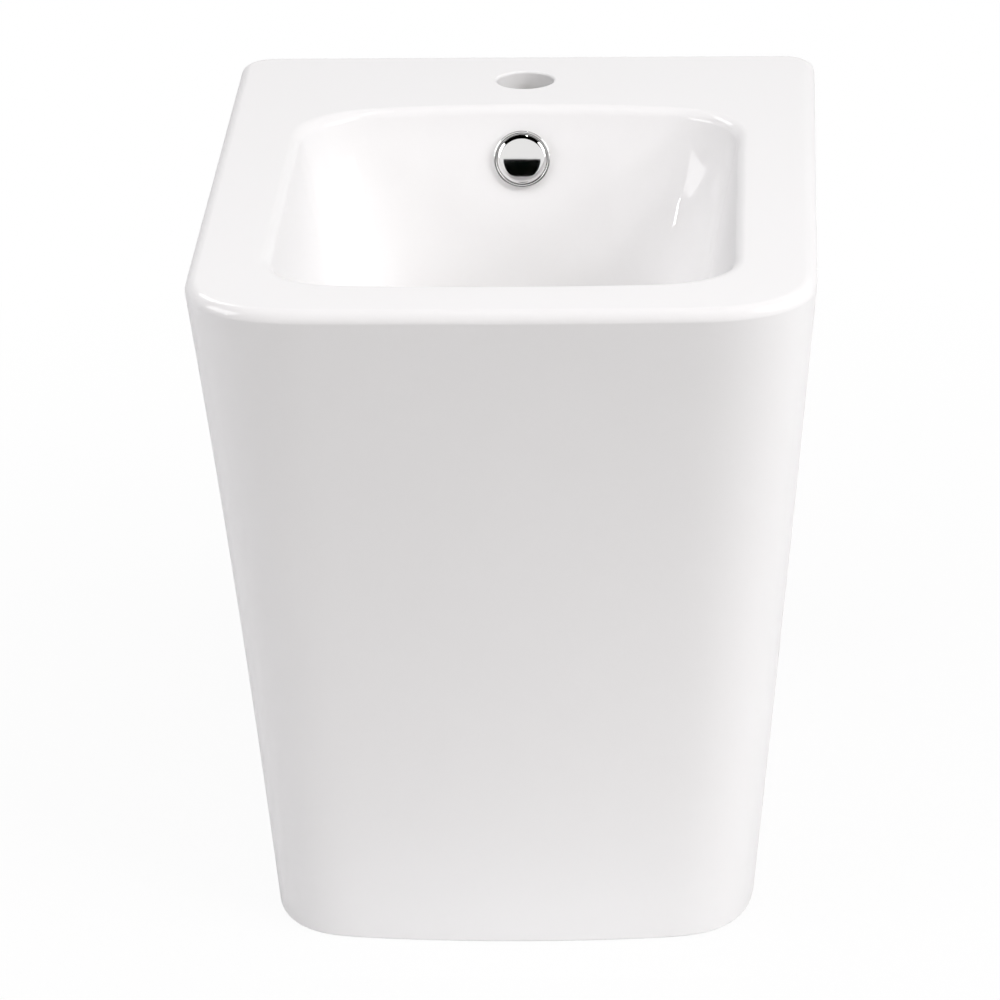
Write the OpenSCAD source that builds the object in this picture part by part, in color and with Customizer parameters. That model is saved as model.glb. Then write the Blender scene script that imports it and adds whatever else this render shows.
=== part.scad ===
// Floor standing bidet, back to the wall, with its waste, bottle trap and side fixings.
// Millimetres. The floor is z = 0 and the front faces -Y. Every piece is drawn from the
// wall plane, y = 0 at the back of the body and negative towards the front, and place()
// then puts the middle of the body's footprint on the Z axis.

/* [Ceramic body] */
// Height of the rim above the floor
body_h = 400; // [390:1:420]
// Width at the rim
rim_w = 355; // [348:1:375]
// Width at the foot
foot_w = 280; // [272:1:300]
// Depth at the rim, from the wall to the front
rim_d = 480; // [474:1:500]
// Depth at the foot, from the wall to the front
foot_d = 442; // [432:1:460]
// How far each side swells halfway up
side_swell = 1.5; // [0:0.5:4]
// How far the front draws in halfway up
front_waist = 24; // [10:1:30]
// Radius of the edge round the top
rim_edge_r = 7; // [4:0.5:9]
// Radius of the upright rear corners
rear_corner_r = 20; // [15:1:28]
// Front corner at the rim, measured across the front
rim_corner_x = 76; // [60:1:86]
// Front corner at the rim, measured along the side
rim_corner_y = 72; // [60:1:86]
// Squareness of the front corner at the rim, where 2 is a plain arc
rim_corner_n = 2.6; // [2:0.1:3.2]
// Front corner at the foot, measured across the front
foot_corner_x = 59; // [50:1:70]
// Front corner at the foot, measured along the side
foot_corner_y = 91; // [70:1:100]
// Squareness of the front corner at the foot
foot_corner_n = 3; // [2:0.1:3.4]
// Radius in plan of the nearly flat front at the rim
rim_front_r = 4600; // [2500:100:8000]
// Radius in plan of the curved front at the foot
foot_front_r = 745; // [600:5:1200]
// Thickness of the pedestal's walls
wall_t = 11; // [9:0.5:13]
// Thickness of the deck
deck_t = 14; // [12:0.5:16]
// Width of the opening in the back
service_w = 180; // [150:1:200]
// Height of the opening in the back
service_h = 300; // [260:1:320]
// Corner radius of the opening in the back
service_r = 25; // [10:1:40]

/* [Bowl] */
// Width of the bowl's mouth
bowl_w = 275; // [262:1:281]
// Rear edge of the bowl's mouth, from the wall
bowl_from_wall = 100.5; // [98:0.5:104]
// Length of the bowl's mouth
bowl_len = 337; // [325:1:341]
// Depth from the rim to the floor at the drain
bowl_depth = 142; // [134:1:148]
// Fall of the bowl's floor towards the drain
floor_fall = 7; // [4:0.5:9]
// Thickness of the bowl's wall
bowl_t = 12; // [10:0.5:13]
// Radius of the edge round the bowl's mouth
bowl_edge_r = 7; // [4:0.5:9]
// Radius where the bowl's walls meet its floor
bowl_floor_r = 38; // [30:1:39]
// Lean of the bowl's side and front walls, in degrees
bowl_side_lean = 12.4; // [9:0.1:15]
// Lean of the bowl's rear wall, in degrees
bowl_rear_lean = 16.7; // [13:0.1:19]
// Front corner of the bowl, measured across
bowl_front_corner_x = 44; // [41:1:52]
// Front corner of the bowl, measured along
bowl_front_corner_y = 42; // [41:1:52]
// Rear corner of the bowl, measured across
bowl_rear_corner_x = 43; // [41:1:52]
// Rear corner of the bowl, measured along
bowl_rear_corner_y = 50; // [44:1:56]
// Radius in plan of the bowl's front edge
bowl_front_r = 1366; // [900:1:3000]
// Radius in plan of the bowl's rear edge
bowl_rear_r = 563; // [450:1:1200]

/* [Tap hole] */
// Diameter of the tap hole
tap_hole_d = 35; // [33:0.5:37]
// Centre of the tap hole, from the wall
tap_from_wall = 52; // [46:1:58]

/* [Overflow] */
// Centre of the overflow below the rim
overflow_drop = 30.6; // [27:0.1:36]
// Diameter of the overflow hole in the china
overflow_hole_d = 24; // [22:0.5:25]
// Outer diameter of the overflow ring
overflow_ring_d = 34.5; // [33:0.5:37]
// Width of the overflow ring's raised bezel
overflow_bezel_t = 1.3; // [1:0.1:2]
// Height of the overflow ring's bezel above its seat
overflow_bezel_h = 3; // [2.4:0.1:4]
// Thickness of the overflow ring's flange
overflow_flange_t = 1.2; // [1:0.1:1.5]
// Wall of the overflow ring's spigot
overflow_spigot_t = 1.5; // [1:0.1:2]
// Length of the overflow ring's spigot
overflow_spigot_l = 11; // [9:0.5:12]
// Open gap round the overflow cover, where the water enters
overflow_gap = 0.7; // [0.5:0.1:1.5]
// Radius of the overflow cover's dome
overflow_dome_r = 60; // [45:1:90]
// Thickness of the overflow cover at its edge
overflow_cover_t = 1; // [0.8:0.1:1.5]
// Width of the hollow cast-in overflow channel
channel_w = 40; // [34:1:48]
// Depth of the hollow cast-in overflow channel
channel_gap = 12; // [10:1:14]
// Thickness of the overflow channel's walls
channel_t = 7; // [6:0.5:8]

/* [Waste] */
// Centre of the drain, from the wall
drain_from_wall = 240; // [232:1:250]
// Diameter of the drain hole in the china
drain_hole_d = 46; // [44:0.5:48]
// Diameter of the recess for the waste's flange
recess_d = 68; // [67:0.5:72]
// Depth of the recess for the waste's flange
recess_depth = 4; // [3:0.5:5]
// Height of the drain boss below the bowl's floor
boss_h = 45; // [42:1:48]
// Diameter of the drain boss
boss_d = 84; // [80:1:90]
// Diameter of the overflow chamber in the drain boss
chamber_d = 62; // [58:1:66]
// Thickness of the drain boss's bottom
boss_floor_t = 12; // [10:0.5:14]
// Diameter of the waste's flange
waste_flange_d = 64; // [62:0.5:66]
// Thickness of the waste's flange
waste_flange_t = 2.5; // [2:0.1:3]
// Outer diameter of the waste's threaded tail
waste_tail_d = 41.9; // [40:0.1:42.4]
// Bore of the waste's tail
waste_bore_d = 37; // [35:0.5:38]
// Length of the waste from the top of its flange
waste_len = 83; // [80:1:88]
// Width of each overflow slot in the waste
slot_w = 16; // [12:1:20]
// Thickness of the seal under the waste's flange
top_seal_t = 1.5; // [1:0.1:2.5]
// Thickness of the seal under the drain boss
bottom_seal_t = 8; // [5:0.5:9]
// Outer diameter of the seal and washer under the drain boss
bottom_seal_d = 60; // [56:1:66]
// Thickness of the washer
washer_t = 1.5; // [1:0.1:2]
// Height of the lock nut
waste_nut_h = 10; // [8:0.5:12]
// Size of the lock nut across its flats
waste_nut_af = 52; // [50:1:56]

/* [Push plug] */
// How far the plug rises when it opens
plug_travel = 9; // [6:0.5:10]
// Diameter of the plug's cap
plug_cap_d = 62; // [58:0.5:64]
// Height of the plug's domed cap
plug_cap_h = 6; // [5:0.5:8]
// Diameter of the plug's stem
stem_d = 8; // [7:0.1:8.4]
// Radial clearance of the stem in its guide
stem_clearance = 0.05; // [0.02:0.01:0.1]
// Diameter of the stem's collar
collar_d = 12.4; // [12:0.1:12.6]
// Outer diameter of the cartridge
cartridge_d = 16.4; // [15.8:0.1:18]
// Bore of the cartridge
cartridge_bore_d = 13.2; // [13:0.1:13.6]
// Diameter of the spring's wire
spring_wire_d = 0.9; // [0.6:0.1:1]
// Turns of the spring
spring_turns = 6; // [4:1:7]
// Gap between the closed plug and its seat
seat_gap = 0.3; // [0.2:0.05:0.5]

/* [Bottle trap] */
// Drop from the waste's lower end to the outlet's centre
outlet_drop = 67; // [59:1:74]
// Outer diameter of the inlet and outlet pipes
pipe_d = 32; // [31:0.1:32.4]
// Wall of the pipes
pipe_t = 1.8; // [1.5:0.1:2.5]
// Outer diameter of the trap's body
trap_d = 66; // [64:1:72]
// Wall of the trap's body and cup
trap_t = 2.5; // [2:0.1:3]
// Depth of the water seal, as a share of the outlet's height above the floor
seal_share = 0.463; // [0.42:0.001:0.48]
// Outer diameter of the trap's nuts
trap_nut_d = 53; // [51:1:56]
// Height of the trap's nuts
trap_nut_h = 18; // [16:0.5:20]
// Outer diameter of the trap's threaded necks
neck_d = 42; // [40:0.1:42.4]
// Thickness of the trap's washers and seals
trap_seal_t = 3; // [2.5:0.1:3.5]
// Reach of the outlet neck from the trap's axis
outlet_reach = 62; // [58:1:68]

/* [Side fixing] */
// Height of the side screws above the floor
fixing_z = 50; // [44:1:56]
// Distance of the side screws from the wall
fixing_from_wall = 85; // [75:1:110]
// Diameter of the fixing holes in the china
fixing_hole_d = 14; // [12:0.5:15]
// Diameter of the side screws
screw_d = 6; // [5:0.1:6.4]
// Diameter of the side screws' heads
screw_head_d = 11; // [10:0.5:12]
// Diameter of the cover caps
cap_d = 18; // [17.5:0.5:20]
// Distance between the two floor holes
floor_hole_spacing = 200; // [190:1:206]
// Diameter of the floor holes
floor_hole_d = 9; // [7:0.5:10]
// Width of the floor brackets
bracket_w = 40; // [34:1:50]
// Length of the floor brackets' feet
bracket_foot = 46; // [44:1:52]
// Height of the floor brackets
bracket_h = 68; // [64:1:76]
// Thickness of the floor brackets
bracket_t = 3; // [2.5:0.1:4]

/* [Hidden] */
$fn = 72;

edge_steps = 4;
corner_steps = 9;
level_steps = 9;
fillet_steps = 4;
overlap = 1;
fit_gap = 0.05;
loose_gap = 0.3;

china = [0.96, 0.96, 0.95];
chrome = [0.80, 0.81, 0.83];
zinc = [0.68, 0.70, 0.72];
rubber = [0.13, 0.13, 0.14];
white_plastic = [0.93, 0.93, 0.91];
grey_plastic = [0.55, 0.56, 0.58];

// Bowl levels, from the rim down
edge_turn = 90 - (bowl_side_lean + bowl_rear_lean)/2;
wall_top_z = body_h - bowl_edge_r*(1 - cos(edge_turn));
wall_top_in = bowl_edge_r*sin(edge_turn);
floor_z = body_h - bowl_depth;
floor_edge_z = floor_z + floor_fall;
wall_foot_z = floor_edge_z + bowl_floor_r*(1 - sin(bowl_side_lean));
fillet_z = wall_foot_z + bowl_floor_r*sin(bowl_side_lean);
fillet_in = bowl_floor_r*cos(bowl_side_lean);
flat_floor_r = recess_d/2 + 4;
under_floor_r = boss_d/2 + 6;
under_floor_z = floor_z - bowl_t - 1;
under_deck_z = body_h - deck_t;
under_deck_r = 8;
lap = 3;

// Overflow, on the bowl's rear wall
overflow_z = body_h - overflow_drop;
overflow_y = rear_wall_y(overflow_z);
spigot_r = overflow_hole_d/2 - loose_gap;
tray_r = overflow_ring_d/2 - overflow_bezel_t;
cover_r = tray_r - overflow_gap;
cover_seat_gap = 0.4;
cover_z = overflow_flange_t + cover_seat_gap;
overflow_hole_reach = 6;
clip_gap = 0.4;
clip_t = 1.4;
clip_w = 5;
clip_reach = 2;
barb_out = 1.2;
barb_h = 1.7;
channel_in = bowl_t - 1.5;
channel_roof_t = 4;
channel_top_z = under_deck_z - channel_roof_t;

// Drain stack, from the bowl's floor down
recess_z = floor_z - recess_depth;
flange_top_z = recess_z + top_seal_t + waste_flange_t;
boss_z = floor_z - boss_h;
chamber_z = boss_z + boss_floor_t;
chamber_top_z = under_floor_z - 1;
bottom_seal_z = boss_z - bottom_seal_t;
washer_z = bottom_seal_z - washer_t;
waste_nut_z = washer_z - waste_nut_h;
tail_z = flange_top_z - waste_len;
tail_r = waste_tail_d/2;
bore_r = waste_bore_d/2;
seat_h = waste_flange_t + 1;
seat_flare = 4.5;
seat_r = bore_r + seat_flare;
seal_chamfer_x = 3;
seal_chamfer_z = bottom_seal_t/2;
slot_sill = 2;
slot_z = chamber_z + slot_sill;
slot_h = 12;

// Plug, drawn closed
bridge_drop = 18;
bridge_z = chamber_z - bridge_drop;
bridge_t = 7;
bridge_top_z = bridge_z + bridge_t;
stem_r = stem_d/2;
guide_r = stem_r + stem_clearance;
bridge_hub_t = 3;
peg_tip = 3;
cartridge_z = bridge_top_z;
cartridge_floor_t = 4;
guide_l = 6;
collar_t = 3;
spring_end_gap = 0.2;
spring_side_gap = 0.5;
spring_z = cartridge_z + cartridge_floor_t + spring_end_gap;
spring_h = 10;
collar_z = spring_z + spring_h + spring_end_gap;
travel_spare = 2;
cartridge_top_z = collar_z + collar_t + plug_travel + travel_spare + guide_l;
spring_r = cartridge_bore_d/2 - spring_wire_d/2 - spring_side_gap;
stem_tip_l = 4;
stem_tip_step = 1;
stem_in_cap = 1;
cap_z = flange_top_z + seat_gap;
plug_hub_r = 15;
plug_hub_h = 6;
plug_hub_web = 2;
plug_hub_gap = 1;
cap_rim_t = 1.5;
seal_inset = 1;
seal_play = 0.1;

// Bottle trap
pipe_r = pipe_d/2;
neck_r = neck_d/2;
nut_r = trap_nut_d/2;
nut_lip_t = 3;
nut_grooves = 18;
groove_r = 2;
groove_out = 0.8;
seal_edge_gap = 0.5;
inlet_flange_t = 3;
inlet_nut_z = tail_z - trap_seal_t - inlet_flange_t - nut_lip_t;
collar_r = tail_r - seal_edge_gap;
washer_bore_r = pipe_r + 0.5;
trap_r = trap_d/2;
cup_lap = 10;
outlet_gap = 1;
outlet_h = tail_z - outlet_drop;
water_seal = outlet_h*seal_share;
trap_z = outlet_h - neck_r - outlet_gap - cup_lap;
roof_rise = 7;
roof_z = outlet_h + neck_r + roof_rise;
neck_l = 14;
neck_top_z = roof_z + neck_l;
neck_nut_z = neck_top_z + trap_seal_t + nut_lip_t - trap_nut_h;
dip_z = outlet_h - pipe_r + pipe_t - water_seal;
dip_gap = 14;
cup_z = dip_z - dip_gap;
cup_seal_z = trap_z - trap_seal_t;
cup_r = trap_r + fit_gap + trap_t;
cup_top_z = trap_z + cup_lap;
cup_chamfer = 4;
cup_ledge = 1;
cup_seal_edge = 0.2;
outlet_nut_y = outlet_reach + trap_seal_t + nut_lip_t - trap_nut_h;
outlet_root = 8;
pipe_end_gap = 2;
stop_ring_h = 1.5;
stop_ring_w = 3;
stop_ring_y = outlet_reach + trap_seal_t + nut_lip_t + loose_gap;

// Side fixing
fixing_flange_r = 9.5;
fixing_flange_t = 1.5;
spot_r = cap_d/2 + 1.5;
spot_x = half_w(level_of(fixing_z - spot_r)) - 0.2;
fixing_inner_x = half_w(level_of(fixing_z)) - wall_t;
upright_x = half_w(0) - wall_t - 0.5;
screw_head_t = 3.5;
screw_tip = 6;
cross_l = 6;
cross_w = 1.2;
cross_depth = 1.8;
cap_wall_t = 1.5;
cap_roof_t = 1.8;
cap_chamfer = 1.5;

function lerp(a, b, k) = a + (b - a)*k;
function level_of(z) = z/(body_h - rim_edge_r);
function half_w(k) = lerp(foot_w, rim_w, k)/2 + 4*side_swell*k*(1 - k);
function front_y(k) = -lerp(foot_d, rim_d, k) + 4*front_waist*k*(1 - k);
function rear_wall_in(z) = wall_top_in + (wall_top_z - z)*tan(bowl_rear_lean);
function side_wall_in(z) = wall_top_in + (wall_top_z - z)*tan(bowl_side_lean);
function rear_wall_y(z) = -bowl_from_wall - rear_wall_in(z);
function reversed(list) = [for (i = [len(list) - 1:-1:0]) list[i]];

// A corner is [across, along, squareness, curvature in plan of the edge that it ends]
function grown(c, d) = [c[0] + d, c[1] + d, c[2], c[3]];
function front_corner(k) = [
    lerp(foot_corner_x, rim_corner_x, k),
    lerp(foot_corner_y, rim_corner_y, k),
    lerp(foot_corner_n, rim_corner_n, k),
    lerp(1/foot_front_r, 1/rim_front_r, k)
];
bowl_front_corner = [bowl_front_corner_x, bowl_front_corner_y, 2, 1/bowl_front_r];
bowl_rear_corner = [bowl_rear_corner_x, bowl_rear_corner_y, 2, 1/bowl_rear_r];

// The bowed edge rises as a parabola up to the corner, and straight on through it
function bow_rise(s) = s < 1 ? s*s : 2*s - 1;

// Half of one end of a ring, from the middle to the side
function end_half(w, y, inward, c) =
    let (
        flat = w - c[0],
        bow = flat*flat*c[3]/2,
        drop = c[1] - bow*(bow_rise(w/flat) - 1)
    )
    concat(
        [for (i = [0:edge_steps - 1]) let (s = i/edge_steps) [flat*s, y + inward*bow*s*s]],
        [for (i = [0:corner_steps])
            let (
                t = 90*i/corner_steps,
                x = flat + c[0]*pow(sin(t), 2/c[2]),
                sunk = drop*(1 - pow(cos(t), 2/c[2]))
            )
            [x, y + inward*(bow*bow_rise(x/flat) + sunk)]]
    );

// A closed ring at height z, anticlockwise from the middle of the front
function ring(w, front, rear, front_c, rear_c, z) =
    let (
        right = concat(end_half(w, front, 1, front_c), reversed(end_half(w, rear, -1, rear_c))),
        left = [for (i = [len(right) - 2:-1:1]) [-right[i][0], right[i][1]]]
    )
    [for (p = concat(right, left)) [p[0], p[1], z]];

// A level of the pedestal, d inside its outer face
function body_ring(k, z, d) = ring(
    half_w(k) - d, front_y(k) + d, -d,
    grown(front_corner(k), -d), [rear_corner_r - d, rear_corner_r - d, 2, 0], z
);

// A level of the bowl, whose walls stand this far inside the mouth
function bowl_ring(side_in, rear_in, grow, z) = ring(
    bowl_w/2 - side_in, side_in - bowl_from_wall - bowl_len, -bowl_from_wall - rear_in,
    grown(bowl_front_corner, grow), grown(bowl_rear_corner, grow), z
);

// A rounded square round the drain
function drain_ring(r, z) = ring(
    r, -drain_from_wall - r, -drain_from_wall + r,
    [0.7*r, 0.7*r, 2, 1/r], [0.7*r, 0.7*r, 2, 1/r], z
);

// The bowl's inside from the mouth to the floor
function bowl_rings() = concat(
    [for (i = [0:fillet_steps]) let (a = edge_turn*i/fillet_steps, d = bowl_edge_r*sin(a))
        bowl_ring(d, d, 0, body_h - bowl_edge_r*(1 - cos(a)))],
    [for (i = [1:fillet_steps]) let (z = lerp(wall_top_z, wall_foot_z, i/fillet_steps))
        bowl_ring(side_wall_in(z), rear_wall_in(z), 0, z)],
    [for (i = [1:fillet_steps + 2])
        let (
            a = lerp(bowl_side_lean, 90, i/(fillet_steps + 2)),
            d = fillet_in - bowl_floor_r*cos(a)
        )
        bowl_ring(side_wall_in(wall_foot_z) + d, rear_wall_in(wall_foot_z) + d, -d,
            fillet_z - bowl_floor_r*sin(a))],
    [drain_ring(flat_floor_r, floor_z)]
);

// The bowl's outside, from under its floor up to the underside of the deck
function bowl_under_rings() = concat(
    [drain_ring(under_floor_r, under_floor_z)],
    [for (i = [0:fillet_steps + 1])
        let (
            a = lerp(90, bowl_side_lean, i/(fillet_steps + 1)),
            d = fillet_in - (bowl_floor_r + bowl_t)*cos(a)
        )
        bowl_ring(side_wall_in(wall_foot_z) + d, rear_wall_in(wall_foot_z) + d, -d,
            fillet_z - (bowl_floor_r + bowl_t)*sin(a))],
    [for (i = [1:3])
        let (z = lerp(wall_foot_z, under_deck_z - under_deck_r, i/3))
        bowl_ring(side_wall_in(z) - bowl_t/cos(bowl_side_lean),
            rear_wall_in(z) - bowl_t/cos(bowl_rear_lean), bowl_t, z)],
    [bowl_ring(side_wall_in(under_deck_z) - bowl_t - under_deck_r/2,
        rear_wall_in(under_deck_z) - bowl_t - under_deck_r/2, bowl_t, under_deck_z)]
);

// The hollow of the pedestal, from under the deck down to the floor
function hollow_rings() = concat(
    [body_ring(level_of(under_deck_z), under_deck_z, wall_t + under_deck_r/2)],
    [for (i = [0:level_steps - 2])
        let (z = (under_deck_z - under_deck_r)*(1 - i/(level_steps - 2)))
        body_ring(level_of(z), z, wall_t)]
);

// The outside, from the floor up over the rim's edge
function outside_rings() = concat(
    [for (i = [0:level_steps]) let (k = i/level_steps) body_ring(k, k*(body_h - rim_edge_r), 0)],
    [for (i = [1:fillet_steps]) let (a = 90*i/fillet_steps)
        body_ring(1, body_h - rim_edge_r*(1 - sin(a)), rim_edge_r*(1 - cos(a)))]
);

// One closed skin through a list of rings of equally many points
module skin(rings) {
    n = len(rings[0]);
    m = len(rings);
    sides = [for (i = [0:m - 2], j = [0:n - 1])
        let (a = i*n + j, b = i*n + (j + 1)%n)
        each [[a, a + n, b + n], [a, b + n, b]]];
    first = [for (j = [0:n - 1]) j];
    last = [for (j = [n - 1:-1:0]) (m - 1)*n + j];
    polyhedron([for (r = rings) each r], concat(sides, [first, last]), convexity = 12);
}

// Moves a piece from the wall plane to the middle of the footprint
module place() {
    translate([0, rim_d/2, 0]) children();
}

// On the drain's axis
module at_drain() {
    translate([0, -drain_from_wall, 0]) children();
}

// On the face of the bowl's rear wall at the overflow, +Z pointing into the bowl
module at_overflow() {
    translate([0, overflow_y, overflow_z]) rotate([90 - bowl_rear_lean, 0, 0]) children();
}

// Along the trap's outlet, +Z pointing to the wall, from the trap's axis
module at_outlet() {
    translate([0, -drain_from_wall, outlet_h]) rotate([-90, 0, 0]) children();
}

// One of a pair, left and right, at the side screws, +Z pointing outwards along X
module each_side() {
    for (side = [0, 1])
        mirror([side, 0, 0])
            translate([0, -fixing_from_wall, fixing_z]) rotate([0, 90, 0]) children();
}

module tube(r, bore, z0, z1) {
    translate([0, 0, z0])
        difference() {
            cylinder(r = r, h = z1 - z0);
            translate([0, 0, -overlap]) cylinder(r = bore, h = z1 - z0 + 2*overlap);
        }
}

// One edge of the overflow channel seen from the side, off outside the bowl's inner face
function channel_edge(off, top_z, end_z) = concat(
    [[rear_wall_y(top_z) + off/cos(bowl_rear_lean), top_z]],
    [for (i = [0:5])
        let (a = lerp(bowl_side_lean, 90, i/5))
        [rear_wall_y(wall_foot_z) - fillet_in + (bowl_floor_r + off)*cos(a),
            fillet_z - (bowl_floor_r + off)*sin(a)]],
    [[under_floor_r - drain_from_wall, end_z]],
    [[-drain_from_wall, end_z]]
);

module channel_solid(w, off0, off1, top_z, end0_z, end1_z) {
    rotate([90, 0, 90])
        linear_extrude(w, center = true)
            polygon(concat(
                channel_edge(off0, top_z, end0_z),
                reversed(channel_edge(off1, top_z, end1_z))
            ));
}

module service_opening() {
    inset = service_w/2 - service_r;
    translate([0, overlap, 0])
        rotate([90, 0, 0])
            linear_extrude(wall_t + 3*overlap)
                union() {
                    translate([-service_w/2, -overlap])
                        square([service_w, service_h - service_r + overlap]);
                    translate([-inset, -overlap]) square([2*inset, service_h + overlap]);
                    for (x = [-inset, inset])
                        translate([x, service_h - service_r]) circle(r = service_r);
                }
}

module ceramic_body() {
    color(china)
        place()
            difference() {
                union() {
                    skin(concat(bowl_under_rings(), hollow_rings(), outside_rings(), bowl_rings()));
                    channel_solid(channel_w + 2*channel_t, bowl_t - lap,
                        bowl_t + channel_gap + channel_t,
                        under_deck_z + overlap, under_floor_z + lap, boss_z + lap);
                    at_drain()
                        translate([0, 0, boss_z])
                            cylinder(d = boss_d, h = under_floor_z + 2*overlap - boss_z);
                }
                channel_solid(channel_w, channel_in, bowl_t + channel_gap,
                    channel_top_z, chamber_top_z, chamber_z + lap);
                at_drain() {
                    translate([0, 0, chamber_z])
                        cylinder(d = chamber_d, h = chamber_top_z - chamber_z);
                    translate([0, 0, boss_z - overlap])
                        cylinder(d = drain_hole_d, h = boss_h + 2*overlap);
                    translate([0, 0, recess_z]) cylinder(d = recess_d, h = recess_depth + overlap);
                }
                at_overflow()
                    translate([0, 0, -bowl_t - overflow_hole_reach])
                        cylinder(d = overflow_hole_d, h = bowl_t + 2*overflow_hole_reach);
                translate([0, -tap_from_wall, under_deck_z - overlap])
                    cylinder(d = tap_hole_d, h = deck_t + 2*overlap);
                service_opening();
                each_side() {
                    translate([0, 0, spot_x - 3*wall_t])
                        cylinder(d = fixing_hole_d, h = 5*wall_t);
                    translate([0, 0, spot_x]) cylinder(r = spot_r, h = wall_t);
                }
            }
}

module overflow_ring() {
    outer_r = overflow_ring_d/2;
    top_r = overflow_bezel_t/2;
    color(chrome)
        place()
            at_overflow()
                translate([0, 0, loose_gap])
                    rotate_extrude()
                        union() {
                            translate([spigot_r - overflow_spigot_t, -overflow_spigot_l])
                                square([overflow_spigot_t, overflow_spigot_l + overflow_flange_t]);
                            translate([spigot_r - overflow_spigot_t, 0])
                                square([outer_r - spigot_r + overflow_spigot_t, overflow_flange_t]);
                            translate([tray_r, 0])
                                square([overflow_bezel_t, overflow_bezel_h - top_r]);
                            translate([tray_r + top_r, overflow_bezel_h - top_r]) circle(r = top_r);
                        }
}

module overflow_cover() {
    leg_r = spigot_r - overflow_spigot_t - clip_gap;
    barb_z = -overflow_spigot_l - clip_reach;
    edge_z = cover_z + overflow_cover_t;
    rise = overflow_dome_r - sqrt(pow(overflow_dome_r, 2) - pow(cover_r, 2));
    color(chrome)
        place()
            at_overflow()
                translate([0, 0, loose_gap]) {
                    intersection() {
                        translate([0, 0, cover_z]) cylinder(r = cover_r, h = rise + overflow_cover_t);
                        translate([0, 0, edge_z + rise - overflow_dome_r])
                            sphere(r = overflow_dome_r, $fn = 200);
                    }
                    for (turn = [90:120:330])
                        rotate([0, 0, turn]) {
                            translate([leg_r - clip_t, -clip_w/2, barb_z])
                                cube([clip_t, clip_w, cover_z + overlap/2 - barb_z]);
                            translate([leg_r - overlap/2, -clip_w/2, barb_z])
                                cube([overlap/2 + barb_out, clip_w, barb_h]);
                        }
                }
}

module waste_body() {
    flange_z = flange_top_z - waste_flange_t;
    color(chrome)
        place()
            at_drain()
                difference() {
                    union() {
                        tube(tail_r, bore_r, tail_z, flange_z + overlap);
                        translate([0, 0, flange_z]) cylinder(d = waste_flange_d, h = waste_flange_t);
                        translate([-bore_r - overlap/2, -bridge_t/2, bridge_z])
                            cube([2*bore_r + overlap, bridge_t, bridge_t]);
                        translate([0, 0, bridge_z]) cylinder(r = stem_r + bridge_hub_t, h = bridge_t);
                    }
                    translate([0, 0, flange_top_z - seat_h])
                        cylinder(r1 = bore_r, r2 = seat_r, h = seat_h);
                    translate([0, 0, bridge_z + bridge_t + overlap])
                        cylinder(r = bore_r, h = flange_top_z - bridge_z);
                    translate([0, 0, bridge_z - overlap])
                        cylinder(r = stem_r, h = bridge_t + 2*overlap);
                    translate([-slot_w/2, -tail_r - overlap, slot_z])
                        cube([slot_w, 2*tail_r + 2*overlap, slot_h]);
                }
}

module waste_top_seal() {
    color(rubber)
        place()
            at_drain() tube(waste_flange_d/2 - 1, tail_r + loose_gap, recess_z, recess_z + top_seal_t);
}

module waste_bottom_seal() {
    color(rubber)
        place()
            at_drain()
                rotate_extrude()
                    polygon([
                        [tail_r + fit_gap, bottom_seal_z],
                        [bottom_seal_d/2, bottom_seal_z],
                        [bottom_seal_d/2, boss_z - seal_chamfer_z],
                        [bottom_seal_d/2 - seal_chamfer_x, boss_z],
                        [tail_r + fit_gap, boss_z]
                    ]);
}

module waste_washer() {
    color(grey_plastic)
        place()
            at_drain() tube(bottom_seal_d/2, tail_r + loose_gap, washer_z, bottom_seal_z);
}

module waste_nut() {
    color(zinc)
        place()
            at_drain()
                difference() {
                    translate([0, 0, waste_nut_z])
                        cylinder(d = waste_nut_af/cos(30), h = waste_nut_h, $fn = 6);
                    translate([0, 0, waste_nut_z - overlap])
                        cylinder(r = tail_r + fit_gap, h = waste_nut_h + 2*overlap);
                }
}

module plug_cartridge() {
    color(white_plastic)
        place()
            at_drain()
                difference() {
                    union() {
                        translate([0, 0, cartridge_z])
                            cylinder(d = cartridge_d, h = cartridge_top_z - cartridge_z);
                        translate([0, 0, bridge_z - peg_tip])
                            cylinder(r = stem_r - fit_gap, h = bridge_t + peg_tip + overlap);
                    }
                    translate([0, 0, cartridge_z + cartridge_floor_t])
                        cylinder(d = cartridge_bore_d,
                            h = cartridge_top_z - guide_l - cartridge_z - cartridge_floor_t);
                    translate([0, 0, cartridge_top_z - guide_l - overlap])
                        cylinder(r = guide_r, h = guide_l + 2*overlap);
                }
}

// A point on the spring's wire, round the helix and round the wire's own section
function wire_point(turn, side, pitch) =
    let (out = spring_r + spring_wire_d/2*cos(side))
    [out*cos(turn), out*sin(turn), pitch*turn/360 + spring_wire_d/2*sin(side)];

module cartridge_spring() {
    wire_sides = 8;
    turn_steps = 16;
    pitch = (spring_h - spring_wire_d)/spring_turns;
    color(zinc)
        place()
            at_drain()
                translate([0, 0, spring_z + spring_wire_d/2])
                    skin([for (i = [0:spring_turns*turn_steps])
                        [for (j = [0:wire_sides - 1])
                            wire_point(360*i/turn_steps, -360*j/wire_sides, pitch)]]);
}

module plug_stem() {
    color(chrome)
        place()
            at_drain() {
                translate([0, 0, collar_z]) cylinder(d = collar_d, h = collar_t);
                translate([0, 0, collar_z - stem_tip_l])
                    cylinder(r = stem_r - stem_tip_step, h = stem_tip_l + overlap);
                translate([0, 0, collar_z + collar_t - overlap])
                    cylinder(r = stem_r, h = cap_z + stem_in_cap - collar_z - collar_t + overlap);
            }
}

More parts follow.
